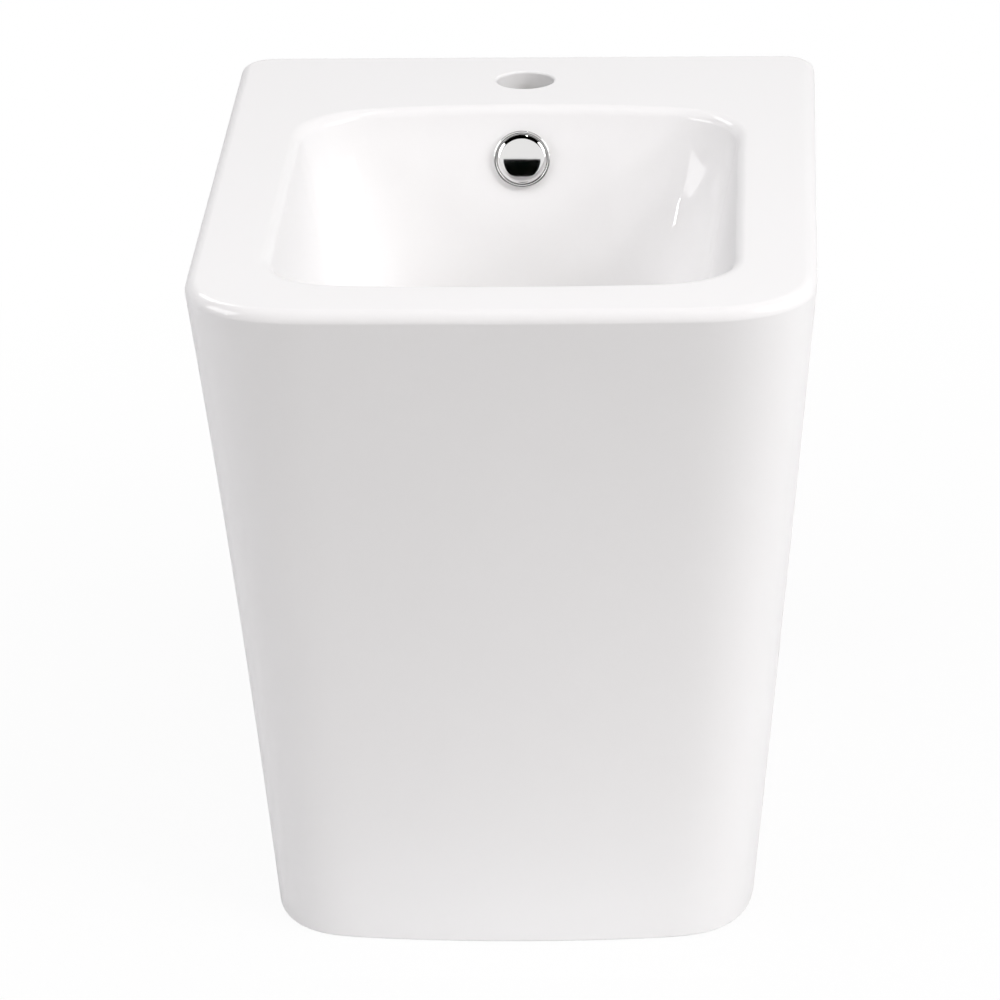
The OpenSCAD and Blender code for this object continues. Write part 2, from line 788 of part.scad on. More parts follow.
module plug_cap() {
    cap_r = plug_cap_d/2;
    rise = plug_cap_h - cap_rim_t;
    dome_r = (cap_r*cap_r + rise*rise)/(2*rise);
    color(chrome)
        place()
            at_drain()
                difference() {
                    union() {
                        intersection() {
                            translate([0, 0, cap_z]) cylinder(r = cap_r, h = plug_cap_h);
                            translate([0, 0, cap_z + plug_cap_h - dome_r])
                                sphere(r = dome_r, $fn = 360);
                        }
                        translate([0, 0, cap_z - plug_hub_h])
                            cylinder(r = plug_hub_r, h = plug_hub_h + overlap);
                    }
                    translate([0, 0, cap_z - plug_hub_h - overlap])
                        cylinder(r = stem_r + fit_gap, h = plug_hub_h + stem_in_cap + overlap);
                    translate([0, 0, cap_z - plug_hub_h - overlap])
                        cylinder(d = cartridge_d + 2*plug_hub_gap,
                            h = plug_hub_h - plug_hub_web + overlap);
                }
}

module plug_seal() {
    seal_z = cap_z - plug_hub_h + seal_inset;
    seal_top_z = cap_z - seal_inset;
    slope = (seat_r - bore_r)/seat_h;
    play = seat_gap*sqrt(1 + slope*slope) + seal_play;
    color(rubber)
        place()
            at_drain()
                rotate_extrude()
                    polygon([
                        [plug_hub_r + fit_gap, seal_z],
                        [seat_r - slope*(flange_top_z - seal_z) - play, seal_z],
                        [seat_r - slope*(flange_top_z - seal_top_z) - play, seal_top_z],
                        [plug_hub_r + fit_gap, seal_top_z]
                    ]);
}

// A union nut standing on z = 0: a thread bore above a lip round the pipe
module union_nut(thread_r) {
    difference() {
        cylinder(r = nut_r, h = trap_nut_h);
        translate([0, 0, nut_lip_t]) cylinder(r = thread_r + fit_gap, h = trap_nut_h);
        translate([0, 0, -overlap]) cylinder(r = pipe_r + loose_gap, h = nut_lip_t + 2*overlap);
        for (i = [0:nut_grooves - 1])
            rotate([0, 0, 360*i/nut_grooves])
                translate([nut_r + groove_out, 0, groove_r])
                    cylinder(r = groove_r, h = trap_nut_h, $fn = 24);
    }
}

module trap_inlet_nut() {
    color(white_plastic)
        place()
            at_drain()
                translate([0, 0, inlet_nut_z]) union_nut(tail_r);
}

module trap_inlet_washer() {
    color(rubber)
        place()
            at_drain() tube(collar_r, washer_bore_r, tail_z - trap_seal_t, tail_z);
}

module trap_inlet_pipe() {
    flange_top = tail_z - trap_seal_t;
    color(white_plastic)
        place()
            at_drain()
                difference() {
                    union() {
                        translate([0, 0, dip_z]) cylinder(r = pipe_r, h = flange_top - dip_z);
                        translate([0, 0, flange_top - inlet_flange_t])
                            cylinder(r = collar_r, h = inlet_flange_t);
                    }
                    translate([0, 0, dip_z - overlap])
                        cylinder(r = pipe_r - pipe_t, h = flange_top - dip_z + 2*overlap);
                }
}

module trap_neck_nut() {
    color(white_plastic)
        place()
            at_drain()
                translate([0, 0, neck_nut_z + trap_nut_h]) mirror([0, 0, 1]) union_nut(neck_r);
}

module trap_neck_seal() {
    color(rubber)
        place()
            at_drain()
                tube(neck_r - seal_edge_gap, pipe_r + fit_gap, neck_top_z, neck_top_z + trap_seal_t);
}

module trap_body() {
    color(white_plastic)
        place()
            difference() {
                union() {
                    at_drain() {
                        translate([0, 0, trap_z]) cylinder(r = trap_r, h = roof_z - trap_z);
                        translate([0, 0, roof_z - overlap])
                            cylinder(r = neck_r, h = neck_l + overlap);
                    }
                    at_outlet()
                        translate([0, 0, trap_r - outlet_root])
                            cylinder(r = neck_r, h = outlet_reach - trap_r + outlet_root);
                }
                at_drain() {
                    translate([0, 0, trap_z - overlap])
                        cylinder(r = trap_r - trap_t, h = roof_z - trap_t - trap_z + overlap);
                    translate([0, 0, roof_z - trap_t - overlap])
                        cylinder(r = pipe_r + loose_gap, h = neck_l + trap_t + 2*overlap);
                }
                at_outlet()
                    translate([0, 0, trap_r - 2*outlet_root])
                        cylinder(r = pipe_r + loose_gap,
                            h = outlet_reach - trap_r + 2*outlet_root + overlap);
            }
}

module trap_cup() {
    color(white_plastic)
        place()
            at_drain()
                rotate_extrude()
                    polygon([
                        [0, cup_z],
                        [cup_r - cup_chamfer, cup_z],
                        [cup_r, cup_z + cup_chamfer],
                        [cup_r, cup_top_z],
                        [trap_r + fit_gap, cup_top_z],
                        [trap_r + fit_gap, cup_seal_z],
                        [trap_r - trap_t - cup_ledge, cup_seal_z],
                        [trap_r - trap_t - cup_ledge, cup_z + trap_t + cup_chamfer],
                        [trap_r - trap_t - cup_ledge - cup_chamfer, cup_z + trap_t],
                        [0, cup_z + trap_t]
                    ]);
}

module trap_cup_seal() {
    color(rubber)
        place()
            at_drain() tube(trap_r - cup_seal_edge, trap_r - trap_t, cup_seal_z, trap_z);
}

module trap_outlet_nut() {
    color(white_plastic)
        place()
            at_outlet()
                translate([0, 0, outlet_nut_y + trap_nut_h]) mirror([0, 0, 1]) union_nut(neck_r);
}

module trap_outlet_seal() {
    color(rubber)
        place()
            at_outlet()
                tube(neck_r - seal_edge_gap, pipe_r + fit_gap, outlet_reach, outlet_reach + trap_seal_t);
}

module trap_outlet_pipe() {
    color(white_plastic)
        place()
            at_outlet() {
                tube(pipe_r, pipe_r - pipe_t, trap_r + pipe_end_gap, drain_from_wall);
                tube(pipe_r + stop_ring_h, pipe_r - pipe_t/2, stop_ring_y, stop_ring_y + stop_ring_w);
            }
}

module fixing_brackets() {
    color(zinc)
        place()
            for (side = [0, 1])
                mirror([side, 0, 0])
                    translate([0, -fixing_from_wall, 0])
                        difference() {
                            union() {
                                translate([upright_x - bracket_foot, -bracket_w/2, 0])
                                    cube([bracket_foot, bracket_w, bracket_t]);
                                translate([upright_x - bracket_t, -bracket_w/2, 0])
                                    cube([bracket_t, bracket_w, bracket_h]);
                            }
                            translate([floor_hole_spacing/2, 0, -overlap])
                                cylinder(d = floor_hole_d, h = bracket_t + 2*overlap);
                            translate([upright_x - bracket_t - overlap, 0, fixing_z])
                                rotate([0, 90, 0])
                                    cylinder(d = screw_d + 2*fit_gap, h = bracket_t + 2*overlap);
                        }
}

module fixing_sleeves() {
    color(white_plastic)
        place()
            each_side()
                difference() {
                    union() {
                        translate([0, 0, fixing_inner_x])
                            cylinder(d = fixing_hole_d - 2*loose_gap,
                                h = spot_x - fixing_inner_x + overlap);
                        translate([0, 0, spot_x]) cylinder(r = fixing_flange_r, h = fixing_flange_t);
                    }
                    translate([0, 0, fixing_inner_x - overlap])
                        cylinder(d = screw_d + 2*loose_gap, h = spot_x - fixing_inner_x + 3*overlap);
                }
}

module fixing_screws() {
    head_x = spot_x + fixing_flange_t;
    color(zinc)
        place()
            each_side()
                difference() {
                    union() {
                        translate([0, 0, upright_x - bracket_t - screw_tip])
                            cylinder(d = screw_d,
                                h = head_x - upright_x + bracket_t + screw_tip + overlap);
                        translate([0, 0, head_x]) cylinder(d = screw_head_d, h = screw_head_t);
                    }
                    for (turn = [0, 90])
                        rotate([0, 0, turn])
                            translate([-cross_l/2, -cross_w/2, head_x + screw_head_t - cross_depth])
                                cube([cross_l, cross_w, cross_depth + overlap]);
                }
}

module fixing_caps() {
    cap_x = spot_x + fixing_flange_t;
    cap_h = screw_head_t + cap_roof_t + loose_gap;
    color(chrome)
        place()
            each_side()
                difference() {
                    union() {
                        translate([0, 0, cap_x]) cylinder(d = cap_d, h = cap_h - cap_chamfer);
                        translate([0, 0, cap_x + cap_h - cap_chamfer])
                            cylinder(r1 = cap_d/2, r2 = cap_d/2 - cap_chamfer, h = cap_chamfer);
                    }
                    translate([0, 0, cap_x - overlap])
                        cylinder(d = cap_d - 2*cap_wall_t, h = cap_h - cap_roof_t + overlap);
                }
}

ceramic_body();
overflow_ring();
overflow_cover();
waste_body();
waste_top_seal();
waste_bottom_seal();
waste_washer();
waste_nut();
plug_cartridge();
cartridge_spring();
plug_stem();
plug_cap();
plug_seal();
trap_inlet_nut();
trap_inlet_washer();
trap_inlet_pipe();
trap_neck_nut();
trap_neck_seal();
trap_body();
trap_cup();
trap_cup_seal();
trap_outlet_nut();
trap_outlet_seal();
trap_outlet_pipe();
fixing_brackets();
fixing_sleeves();
fixing_screws();
fixing_caps();
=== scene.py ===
# Floor standing bidet in white glazed china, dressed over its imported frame.
# Metres, +Z up, the front faces -Y, and the back touches the wall plane at y = +0.240.
import bpy
import bmesh
import math
from mathutils import Matrix, Vector


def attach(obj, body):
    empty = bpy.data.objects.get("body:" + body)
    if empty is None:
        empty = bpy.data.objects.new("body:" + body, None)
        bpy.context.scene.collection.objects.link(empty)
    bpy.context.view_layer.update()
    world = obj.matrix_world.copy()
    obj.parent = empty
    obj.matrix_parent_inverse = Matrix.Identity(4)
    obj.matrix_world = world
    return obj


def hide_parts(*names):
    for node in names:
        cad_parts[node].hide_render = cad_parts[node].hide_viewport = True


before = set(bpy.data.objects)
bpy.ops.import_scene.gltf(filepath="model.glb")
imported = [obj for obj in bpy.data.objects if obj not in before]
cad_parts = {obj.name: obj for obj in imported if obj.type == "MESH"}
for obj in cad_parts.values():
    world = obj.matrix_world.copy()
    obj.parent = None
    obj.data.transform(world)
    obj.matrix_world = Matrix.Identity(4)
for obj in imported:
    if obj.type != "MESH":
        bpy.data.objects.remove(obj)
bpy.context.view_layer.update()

# ---------------------------------------------------------------- sizes, in millimetres
# A corner is its width and depth, the power of its curve, and how far its end bows.
BODY_H = 400.0
RIM_W, FOOT_W = 355.0, 280.0
RIM_D, FOOT_D = 480.0, 442.0
SIDE_SWELL, FRONT_WAIST = 1.5, 24.0
RIM_EDGE_R = 7.0
REAR_CORNER_R = 20.0
RIM_CORNER = (76.0, 72.0, 2.6, 1/4600)
FOOT_CORNER = (59.0, 91.0, 3.0, 1/745)
WALL_T, DECK_T = 11.0, 14.0
SERVICE_W, SERVICE_H, SERVICE_R, SERVICE_LIP_R = 180.0, 300.0, 25.0, 2.4
BOWL_W, BOWL_FROM_WALL, BOWL_LEN = 275.0, 100.5, 337.0
BOWL_DEPTH, FLOOR_FALL, BOWL_T = 142.0, 7.0, 12.0
BOWL_EDGE_R, BOWL_FLOOR_R = 7.0, 38.0
SIDE_LEAN, REAR_LEAN = math.radians(12.4), math.radians(16.7)
BOWL_FRONT_CORNER = (51.4, 49.1, 2.4, 1/1366)
BOWL_REAR_CORNER = (50.2, 58.4, 2.4, 1/563)
TAP_HOLE_D, TAP_FROM_WALL, TAP_EDGE_R, TAP_UNDER_R = 35.0, 52.0, 1.6, 1.2
OVERFLOW_DROP, OVERFLOW_HOLE_D, OVERFLOW_RING_D, OVERFLOW_EDGE_R = 30.6, 24.0, 34.5, 2.0
BEZEL_T, BEZEL_H, RING_FLANGE_T, BEZEL_FLANK = 1.3, 3.0, 1.2, 0.45
BEZEL_FOOT, BEZEL_OUTER_R, BEZEL_INNER_R = 0.4, 0.5, 0.25
SPIGOT_T, SPIGOT_L = 1.5, 11.0
CHANNEL_W, CHANNEL_GAP, CHANNEL_T = 40.0, 12.0, 7.0
DRAIN_FROM_WALL, DRAIN_HOLE_D, RECESS_D, RECESS_DEPTH, RECESS_R = 240.0, 46.0, 68.0, 4.0, 1.5
BOSS_H, BOSS_D, CHAMBER_D, BOSS_FLOOR_T, BOSS_EDGE_R = 45.0, 84.0, 62.0, 12.0, 3.0
FIXING_Z, FIXING_FROM_WALL, FIXING_HOLE_D, CAP_D = 50.0, 85.0, 14.0, 18.0
SPOT_GAP, SPOT_SINK = 1.5, 0.2
PLUG_D, PLUG_H, PLUG_DOME, PLUG_EDGE_R, PLUG_Z = 62.0, 6.0, 4.5, 0.85, 258.3
HUB_D, HUB_H, HUB_WEB, HUB_BORE_D, STEM_BORE_D, STEM_GRIP = 30.0, 6.0, 2.0, 18.4, 8.1, 1.0
HUB_EDGE_R, HUB_ROOT_R = 0.5, 0.8
CAP_H, CAP_WALL_T, CAP_ROOF_T, CAP_EDGE_R, SLEEVE_FLANGE_T = 5.6, 1.5, 1.8, 2.2, 1.5
CAP_FOOT_R = 0.3
LOOSE_GAP = 0.3
FOOT_EDGE = 1.5
DECK_LAP = 1.2
COVER_GAP, COVER_H, COVER_CROWN_R, COVER_ROLL, COVER_ROLL_H = 0.7, 2.95, 150.0, 3.4, 1.9
COVER_LIFT, COVER_FOOT = 0.4, 0.2
CLIP_W, CLIP_T, CLIP_GAP, CLIP_REACH, CLIP_TIP = 5.0, 1.4, 0.4, 1.2, 2.0

# ---------------------------------------------------------------- light
ROOM_COLOUR, ROOM_LIGHT = (1.0, 1.0, 1.0), 0.02
LAMPS = (
    # name, place, aim, width, height, watts, colour
    ("over_box", (0.0, -1.1, 4.2), (0, 0, 0.3), 3.2, 3.2, 73.5, (1.0, 0.985, 0.985)),
    ("rear_top", (0.0, 1.0, 2.6), (0, 0, 0.3), 2.0, 1.4, 10.5, (1.0, 0.985, 0.985)),
    ("right_big", (3.5, -1.9, 2.3), (0, 0, 0.3), 3.2, 2.6, 52.5, (1.0, 0.98, 0.98)),
    ("right_high_box", (2.3, -0.6, 1.55), (0, 0, 0.36), 1.0, 0.42, 14.5, (0.98, 0.98, 1.0)),
    ("right_mid_box", (2.56, -2.16, 2.96), (0, 0, 0.36), 1.3, 1.0, 32.5, (1.0, 0.99, 0.99)),
    ("left_big", (-3.5, -1.9, 2.3), (0, 0, 0.3), 3.2, 2.6, 15.5, (1.0, 0.97, 1.0)),
    ("left_high_box", (-2.3, -0.6, 1.55), (0, 0, 0.36), 1.0, 0.42, 13.5, (0.98, 0.97, 1.0)),
    ("left_mid_box", (-2.56, -2.16, 2.96), (0, 0, 0.36), 1.3, 1.0, 9.0, (1, 1, 1)),
    ("front_big", (0.0, -4.5, 2.8), (0, 0, 0.3), 3.8, 2.6, 3.5, (1.0, 0.66, 0.36)),
    ("foot_strip", (0.0, -0.25, 0.004), (0, -0.2, 0.03), 0.28, 0.03, 0.010, (0.9, 0.95, 1.0)),
)
CARDS = (
    # name, place, aim, width, height, brightness, round below: seen in reflections only
    ("dark_screen", (-0.2, -4.6, 1.15), (-0.02, 0.08, 0.37), 1.56, 1.0, 0.0, True),
    ("dark_ceiling", (0.0, -0.8, 3.6), (0, -0.8, 0.0), 9.0, 6.4, 0.0, False),
    ("right_strip", (1.378, -0.319, 0.715), (0.804, 0.5, 0.715), 1.02, 0.036, 6.0, False),
    ("right_panel", (1.417, -0.379, 1.42), (-0.105, 0.115, 0.395), 1.0, 0.90, 6.0, False),
    ("left_strip", (-1.81, -0.172, 0.718), (-1.31, 0.694, 0.718), 1.48, 0.032, 6.0, False),
    ("left_panel", (-1.422, -0.353, 1.24), (0.108, 0.115, 0.395), 1.06, 0.72, 7.0, False),
    ("left_spark", (-1.10, -0.61, 0.682), (0.094, 0.106, 0.682), 0.06, 0.034, 30.0, False),
    ("rim_spark", (0.43, -0.06, 2.88), (0.12, -0.23, 0.4), 0.14, 0.14, 60.0, False),
    ("rear_left_panel", (-0.89, 1.37, 1.72), (-0.15, -0.22, 0.4), 0.6, 0.72, 4.5, False),
)

EDGE_TURN = math.pi/2 - (SIDE_LEAN + REAR_LEAN)/2
WALL_TOP_Z = BODY_H - BOWL_EDGE_R*(1 - math.cos(EDGE_TURN))
WALL_TOP_IN = BOWL_EDGE_R*math.sin(EDGE_TURN)
FLOOR_Z = BODY_H - BOWL_DEPTH
FLOOR_EDGE_Z = FLOOR_Z + FLOOR_FALL
WALL_FOOT_Z = FLOOR_EDGE_Z + BOWL_FLOOR_R*(1 - math.sin(SIDE_LEAN))
FILLET_Z = WALL_FOOT_Z + BOWL_FLOOR_R*math.sin(SIDE_LEAN)
FILLET_IN = BOWL_FLOOR_R*math.cos(SIDE_LEAN)
UNDER_FLOOR_Z = FLOOR_Z - BOWL_T - 1
UNDER_DECK_Z = BODY_H - DECK_T
UNDER_DECK_R = 8.0
BOSS_Z = FLOOR_Z - BOSS_H
CHAMBER_Z = BOSS_Z + BOSS_FLOOR_T
CHAMBER_TOP_Z = UNDER_FLOOR_Z - 1
OVERFLOW_Z = BODY_H - OVERFLOW_DROP

EDGE_STEPS, CORNER_STEPS, SIDE_STEPS = 10, 34, 12


def lerp(a, b, k):
    """The value a share k of the way from a to b."""
    return a + (b - a)*k


def side_in(z):
    """How far the bowl's side wall has come in at height z."""
    return WALL_TOP_IN + (WALL_TOP_Z - z)*math.tan(SIDE_LEAN)


def rear_in(z):
    """How far the bowl's rear wall has come in at height z."""
    return WALL_TOP_IN + (WALL_TOP_Z - z)*math.tan(REAR_LEAN)


def level_of(z):
    """The height as a share of the pedestal's wall, 0 at the floor and 1 under the rim."""
    return z/(BODY_H - RIM_EDGE_R)


def half_w(k):
    """Half the body's width at a level, with the slight swell of its sides."""
    return lerp(FOOT_W, RIM_W, k)/2 + 4*SIDE_SWELL*k*(1 - k)


def front_y(k):
    """Where the front stands at a level, drawn in at the waist."""
    return -lerp(FOOT_D, RIM_D, k) + 4*FRONT_WAIST*k*(1 - k)


def grown(corner, d):
    """The same corner, larger by d."""
    return (corner[0] + d, corner[1] + d, corner[2], corner[3])


def bow_rise(s):
    """An end's bow: a curve as far as the corner, and straight on past it."""
    return s*s if s < 1 else 2*s - 1


def end_half(w, y, inward, corner):
    """Half of one end of a ring, from the middle to the side."""
    a, b, n, curve = corner
    flat = w - a
    bow = flat*flat*curve/2
    drop = b - bow*(bow_rise(w/flat) - 1)
    points = []
    for i in range(EDGE_STEPS):
        s = i/EDGE_STEPS
        points.append((flat*s, y + inward*bow*s*s))
    for i in range(CORNER_STEPS + 1):
        t = math.pi/2*i/CORNER_STEPS
        x = flat + a*max(math.sin(t), 0)**(2/n)
        sunk = drop*(1 - max(math.cos(t), 0)**(2/n))
        points.append((x, y + inward*(bow*bow_rise(x/flat) + sunk)))
    return points


def ring(w, front, rear, front_corner, rear_corner, z):
    """A closed ring at height z, anticlockwise from the middle of the front."""
    ahead, behind = end_half(w, front, 1, front_corner), end_half(w, rear, -1, rear_corner)
    side = [(w, lerp(ahead[-1][1], behind[-1][1], i/SIDE_STEPS)) for i in range(1, SIDE_STEPS)]
    right = ahead + side + behind[::-1]
    left = [(-x, y) for x, y in right[-2:0:-1]]
    return [(x, y, z) for x, y in right + left]


def body_ring(k, z, d):
    """The body's outline at level k, drawn in by d and laid at height z."""
    corner = tuple(lerp(a, b, k) for a, b in zip(FOOT_CORNER, RIM_CORNER))
    rear = REAR_CORNER_R - d
    return ring(half_w(k) - d, front_y(k) + d, -d, grown(corner, -d), (rear, rear, 2, 0), z)


def bowl_ring(side, rear, grow, z):
    """The mouth's outline, drawn in at its sides and rear, with its corners grown."""
    return ring(BOWL_W/2 - side, side - BOWL_FROM_WALL - BOWL_LEN, -BOWL_FROM_WALL - rear,
                grown(BOWL_FRONT_CORNER, grow), grown(BOWL_REAR_CORNER, grow), z)


def drain_ring(r, z, square=0.7):
    """A nearly round ring about the drain, with as many points as the others."""
    corner = (square*r, square*r, 2, 1/r)
    return ring(r, -DRAIN_FROM_WALL - r, -DRAIN_FROM_WALL + r, corner, corner, z)


def blend_rings(a, b, k, z):
    """A ring between two others, laid at height z."""
    return [(lerp(p[0], q[0], k), lerp(p[1], q[1], k), z) for p, q in zip(a, b)]


def foot_ring(a):
    """The small ground edge round the bottom of the foot."""
    turn = math.radians(a)
    z = FOOT_EDGE*(1 - math.cos(turn))
    return body_ring(level_of(z), z, FOOT_EDGE*(1 - math.sin(turn)))


def outside_rings():
    """Up the outer wall and over the rim's edge onto the deck."""
    rings = [foot_ring(a) for a in (0, 30, 60)]
    levels = 44
    for i in range(levels + 1):
        z = lerp(FOOT_EDGE, BODY_H - RIM_EDGE_R, i/levels)
        rings.append(body_ring(level_of(z), z, 0))
    steps = 12
    for i in range(1, steps + 1):
        a = math.pi/2*i/steps
        rings.append(body_ring(1, BODY_H - RIM_EDGE_R*(1 - math.sin(a)),
                               RIM_EDGE_R*(1 - math.cos(a))))
    rings.append(body_ring(1, BODY_H, RIM_EDGE_R + DECK_LAP))
    return rings


def bowl_rings():
    """From the deck over the mouth's edge, down the bowl's wall and in to the drain."""
    rings = [bowl_ring(-DECK_LAP, -DECK_LAP, DECK_LAP, BODY_H)]
    steps = 12
    for i in range(steps + 1):
        a = EDGE_TURN*i/steps
        d = BOWL_EDGE_R*math.sin(a)
        rings.append(bowl_ring(d, d, 0, BODY_H - BOWL_EDGE_R*(1 - math.cos(a))))
    steps = 14
    for i in range(1, steps + 1):
        z = lerp(WALL_TOP_Z, WALL_FOOT_Z, i/steps)
        rings.append(bowl_ring(side_in(z), rear_in(z), 0, z))
    steps = 16
    for i in range(1, steps + 1):
        a = lerp(SIDE_LEAN, math.pi/2, i/steps)
        d = FILLET_IN - BOWL_FLOOR_R*math.cos(a)
        rings.append(bowl_ring(side_in(WALL_FOOT_Z) + d, rear_in(WALL_FOOT_Z) + d, -d,
                               FILLET_Z - BOWL_FLOOR_R*math.sin(a)))
    edge = rings[-1]
    middle = drain_ring(RECESS_D/2 + 4, FLOOR_Z)
    steps = 12
    for i in range(1, steps + 1):
        k = i/steps
        sunk = FLOOR_FALL*math.sin(k*math.pi/2)**1.2
        rings.append(blend_rings(edge, middle, k, FLOOR_EDGE_Z - sunk))
    return rings + [drain_ring(r, FLOOR_Z, 0.9) for r in (20, 6)]


def bowl_under_rings():
    """From under the bowl's floor up to the underside of the deck."""
    rings = [drain_ring(8, UNDER_FLOOR_Z, 0.9), drain_ring(BOSS_D/2 + 6, UNDER_FLOOR_Z)]
    steps = 12
    for i in range(steps + 1):
        a = lerp(math.pi/2, SIDE_LEAN, i/steps)
        d = FILLET_IN - (BOWL_FLOOR_R + BOWL_T)*math.cos(a)
        rings.append(bowl_ring(side_in(WALL_FOOT_Z) + d, rear_in(WALL_FOOT_Z) + d, -d,
                               FILLET_Z - (BOWL_FLOOR_R + BOWL_T)*math.sin(a)))
    steps = 6
    for i in range(1, steps + 1):
        z = lerp(WALL_FOOT_Z, UNDER_DECK_Z - UNDER_DECK_R, i/steps)
        rings.append(bowl_ring(side_in(z) - BOWL_T/math.cos(SIDE_LEAN),
                               rear_in(z) - BOWL_T/math.cos(REAR_LEAN), BOWL_T, z))
    for a in (30, 60, 90):
        turn = math.radians(a)
        z = UNDER_DECK_Z - UNDER_DECK_R*(1 - math.sin(turn))
        out = UNDER_DECK_R*(1 - math.cos(turn))/2
        rings.append(bowl_ring(side_in(z) - BOWL_T - out, rear_in(z) - BOWL_T - out, BOWL_T, z))
    return rings


def hollow_rings():
    """From under the deck down the pedestal's inner wall to the floor."""
    rings = []
    for a in (90, 60, 30):
        turn = math.radians(a)
        z = UNDER_DECK_Z - UNDER_DECK_R*(1 - math.sin(turn))
        rings.append(body_ring(level_of(z), z, WALL_T + UNDER_DECK_R/2*(1 - math.cos(turn))))
    steps = 22
    for i in range(steps + 1):
        z = lerp(UNDER_DECK_Z - UNDER_DECK_R, FOOT_EDGE, i/steps)
        rings.append(body_ring(level_of(z), z, WALL_T))
    rings.append(body_ring(0, 0, WALL_T - FOOT_EDGE))
    return rings


# ---------------------------------------------------------------- working by hand
def let_go():
    """Back to object mode with nothing selected."""
    if bpy.context.object and bpy.context.object.mode != "OBJECT":
        bpy.ops.object.mode_set(mode="OBJECT")
    bpy.ops.object.select_all(action="DESELECT")


def take(piece):
    """Selects one piece alone and makes it the active one."""
    let_go()
    piece.select_set(True)
    bpy.context.view_layer.objects.active = piece


def settle(piece):
    """Puts the piece's place into its mesh."""
    take(piece)
    bpy.ops.object.transform_apply(location=True, rotation=True, scale=True)


def close_up(piece):
    """Merges what meets and turns every face outwards."""
    take(piece)
    bpy.ops.object.mode_set(mode="EDIT")
    bpy.ops.mesh.select_all(action="SELECT")
    bpy.ops.mesh.remove_doubles(threshold=1e-6)
    bpy.ops.mesh.normals_make_consistent(inside=False)
    bpy.ops.object.mode_set(mode="OBJECT")


def smooth(piece, degrees):
    """Shades the piece smooth, apart from edges sharper than the angle."""
    take(piece)
    bpy.ops.object.shade_smooth_by_angle(angle=math.radians(degrees))


def even_out(piece):
    """Lets the larger faces decide how the skin is shaded, so that flats stay flat."""
    take(piece)
    evened = piece.modifiers.new("evened", "WEIGHTED_NORMAL")
    evened.keep_sharp = True
    bpy.ops.object.modifier_apply(modifier=evened.name)


def place_at(piece, matrix):
    """Carries a piece made at the origin to its place."""
    piece.matrix_world = matrix
    settle(piece)


def from_wall(p):
    """Millimetres from the wall plane to the part's own frame in metres."""
    return Vector((p[0]*0.001, (p[1] + RIM_D/2)*0.001, p[2]*0.001))


def draw_line(name, points):
    """A small plate merged into one point, and drawn on from point to point."""
    let_go()
    bpy.ops.mesh.primitive_plane_add(size=0.001, location=points[0])
    line = bpy.context.object
    line.name = line.data.name = name
    bpy.ops.object.mode_set(mode="EDIT")
    bpy.ops.mesh.select_all(action="SELECT")
    bpy.ops.mesh.merge(type="CENTER")
    for a, b in zip(points, points[1:]):
        bpy.ops.mesh.extrude_vertices_move(TRANSFORM_OT_translate={"value": Vector(b) - Vector(a)})
    bpy.ops.object.mode_set(mode="OBJECT")
    settle(line)
    return line


def turn_up(name, profile, steps=96):
    """Turns a profile of (radius, height) in millimetres once round the Z axis."""
    line = [(r*0.001, 0, z*0.001) for r, z in profile]
    if profile[0][0] > 0 or profile[-1][0] > 0:
        line.append(line[0])
    piece = draw_line(name, line)
    bpy.ops.object.mode_set(mode="EDIT")
    bpy.ops.mesh.select_all(action="SELECT")
    bpy.ops.mesh.spin(steps=steps, angle=math.tau, center=(0, 0, 0), axis=(0, 0, 1))
    bpy.ops.object.mode_set(mode="OBJECT")
    close_up(piece)
    return piece


def cut_out(name, outline, depth):
    """A filled outline, in metres, extruded by depth."""
    piece = draw_line(name, outline + outline[:1])
    bpy.ops.object.mode_set(mode="EDIT")
    bpy.ops.mesh.select_all(action="SELECT")
    bpy.ops.mesh.remove_doubles(threshold=1e-6)
    bpy.ops.mesh.edge_face_add()
    bpy.ops.mesh.extrude_region_move(TRANSFORM_OT_translate={"value": depth})
    bpy.ops.object.mode_set(mode="OBJECT")
    close_up(piece)
    return piece


def pull_skin(name, rings, bare=()):
    """A circle laid on the first ring, extruded from ring to ring and filled at both ends.
    The bands that end on a ring numbered in bare are left unglazed. The rings are in
    millimetres from the wall plane."""
    let_go()
    bpy.ops.mesh.primitive_circle_add(vertices=len(rings[0]), radius=0.1, fill_type="NOTHING")
    piece = bpy.context.object
    piece.name = piece.data.name = name
    for finish in (GLAZE, BISQUE):
        piece.data.materials.append(finish)
    bpy.ops.object.mode_set(mode="EDIT")
    bpy.ops.mesh.select_all(action="SELECT")
    held = {}
    for number, ring_points in enumerate(rings):
        if number:
            bpy.ops.mesh.extrude_edges_move()
        mesh = bmesh.from_edit_mesh(piece.data)
        mesh.verts.ensure_lookup_table()
        loop = [v for v in mesh.verts if v.select]
        order = [held[tuple(v.co)] for v in loop] if number else range(len(loop))
        for vert, at in zip(loop, order):
            if number:
                for face in vert.link_faces:
                    face.material_index = int(number in bare)
            vert.co = from_wall(ring_points[at])
        held = {tuple(v.co): at for v, at in zip(loop, order)}
        if number == 0:
            first = list(held)
        bmesh.update_edit_mesh(piece.data)
    bpy.ops.mesh.edge_face_add()
    bpy.ops.mesh.select_all(action="DESELECT")
    mesh = bmesh.from_edit_mesh(piece.data)
    ends = set(first)
    for vert in mesh.verts:
        vert.select = tuple(vert.co) in ends
    mesh.select_flush_mode()
    bmesh.update_edit_mesh(piece.data)
    bpy.ops.mesh.edge_face_add()
    bpy.ops.object.mode_set(mode="OBJECT")
    close_up(piece)
    return piece


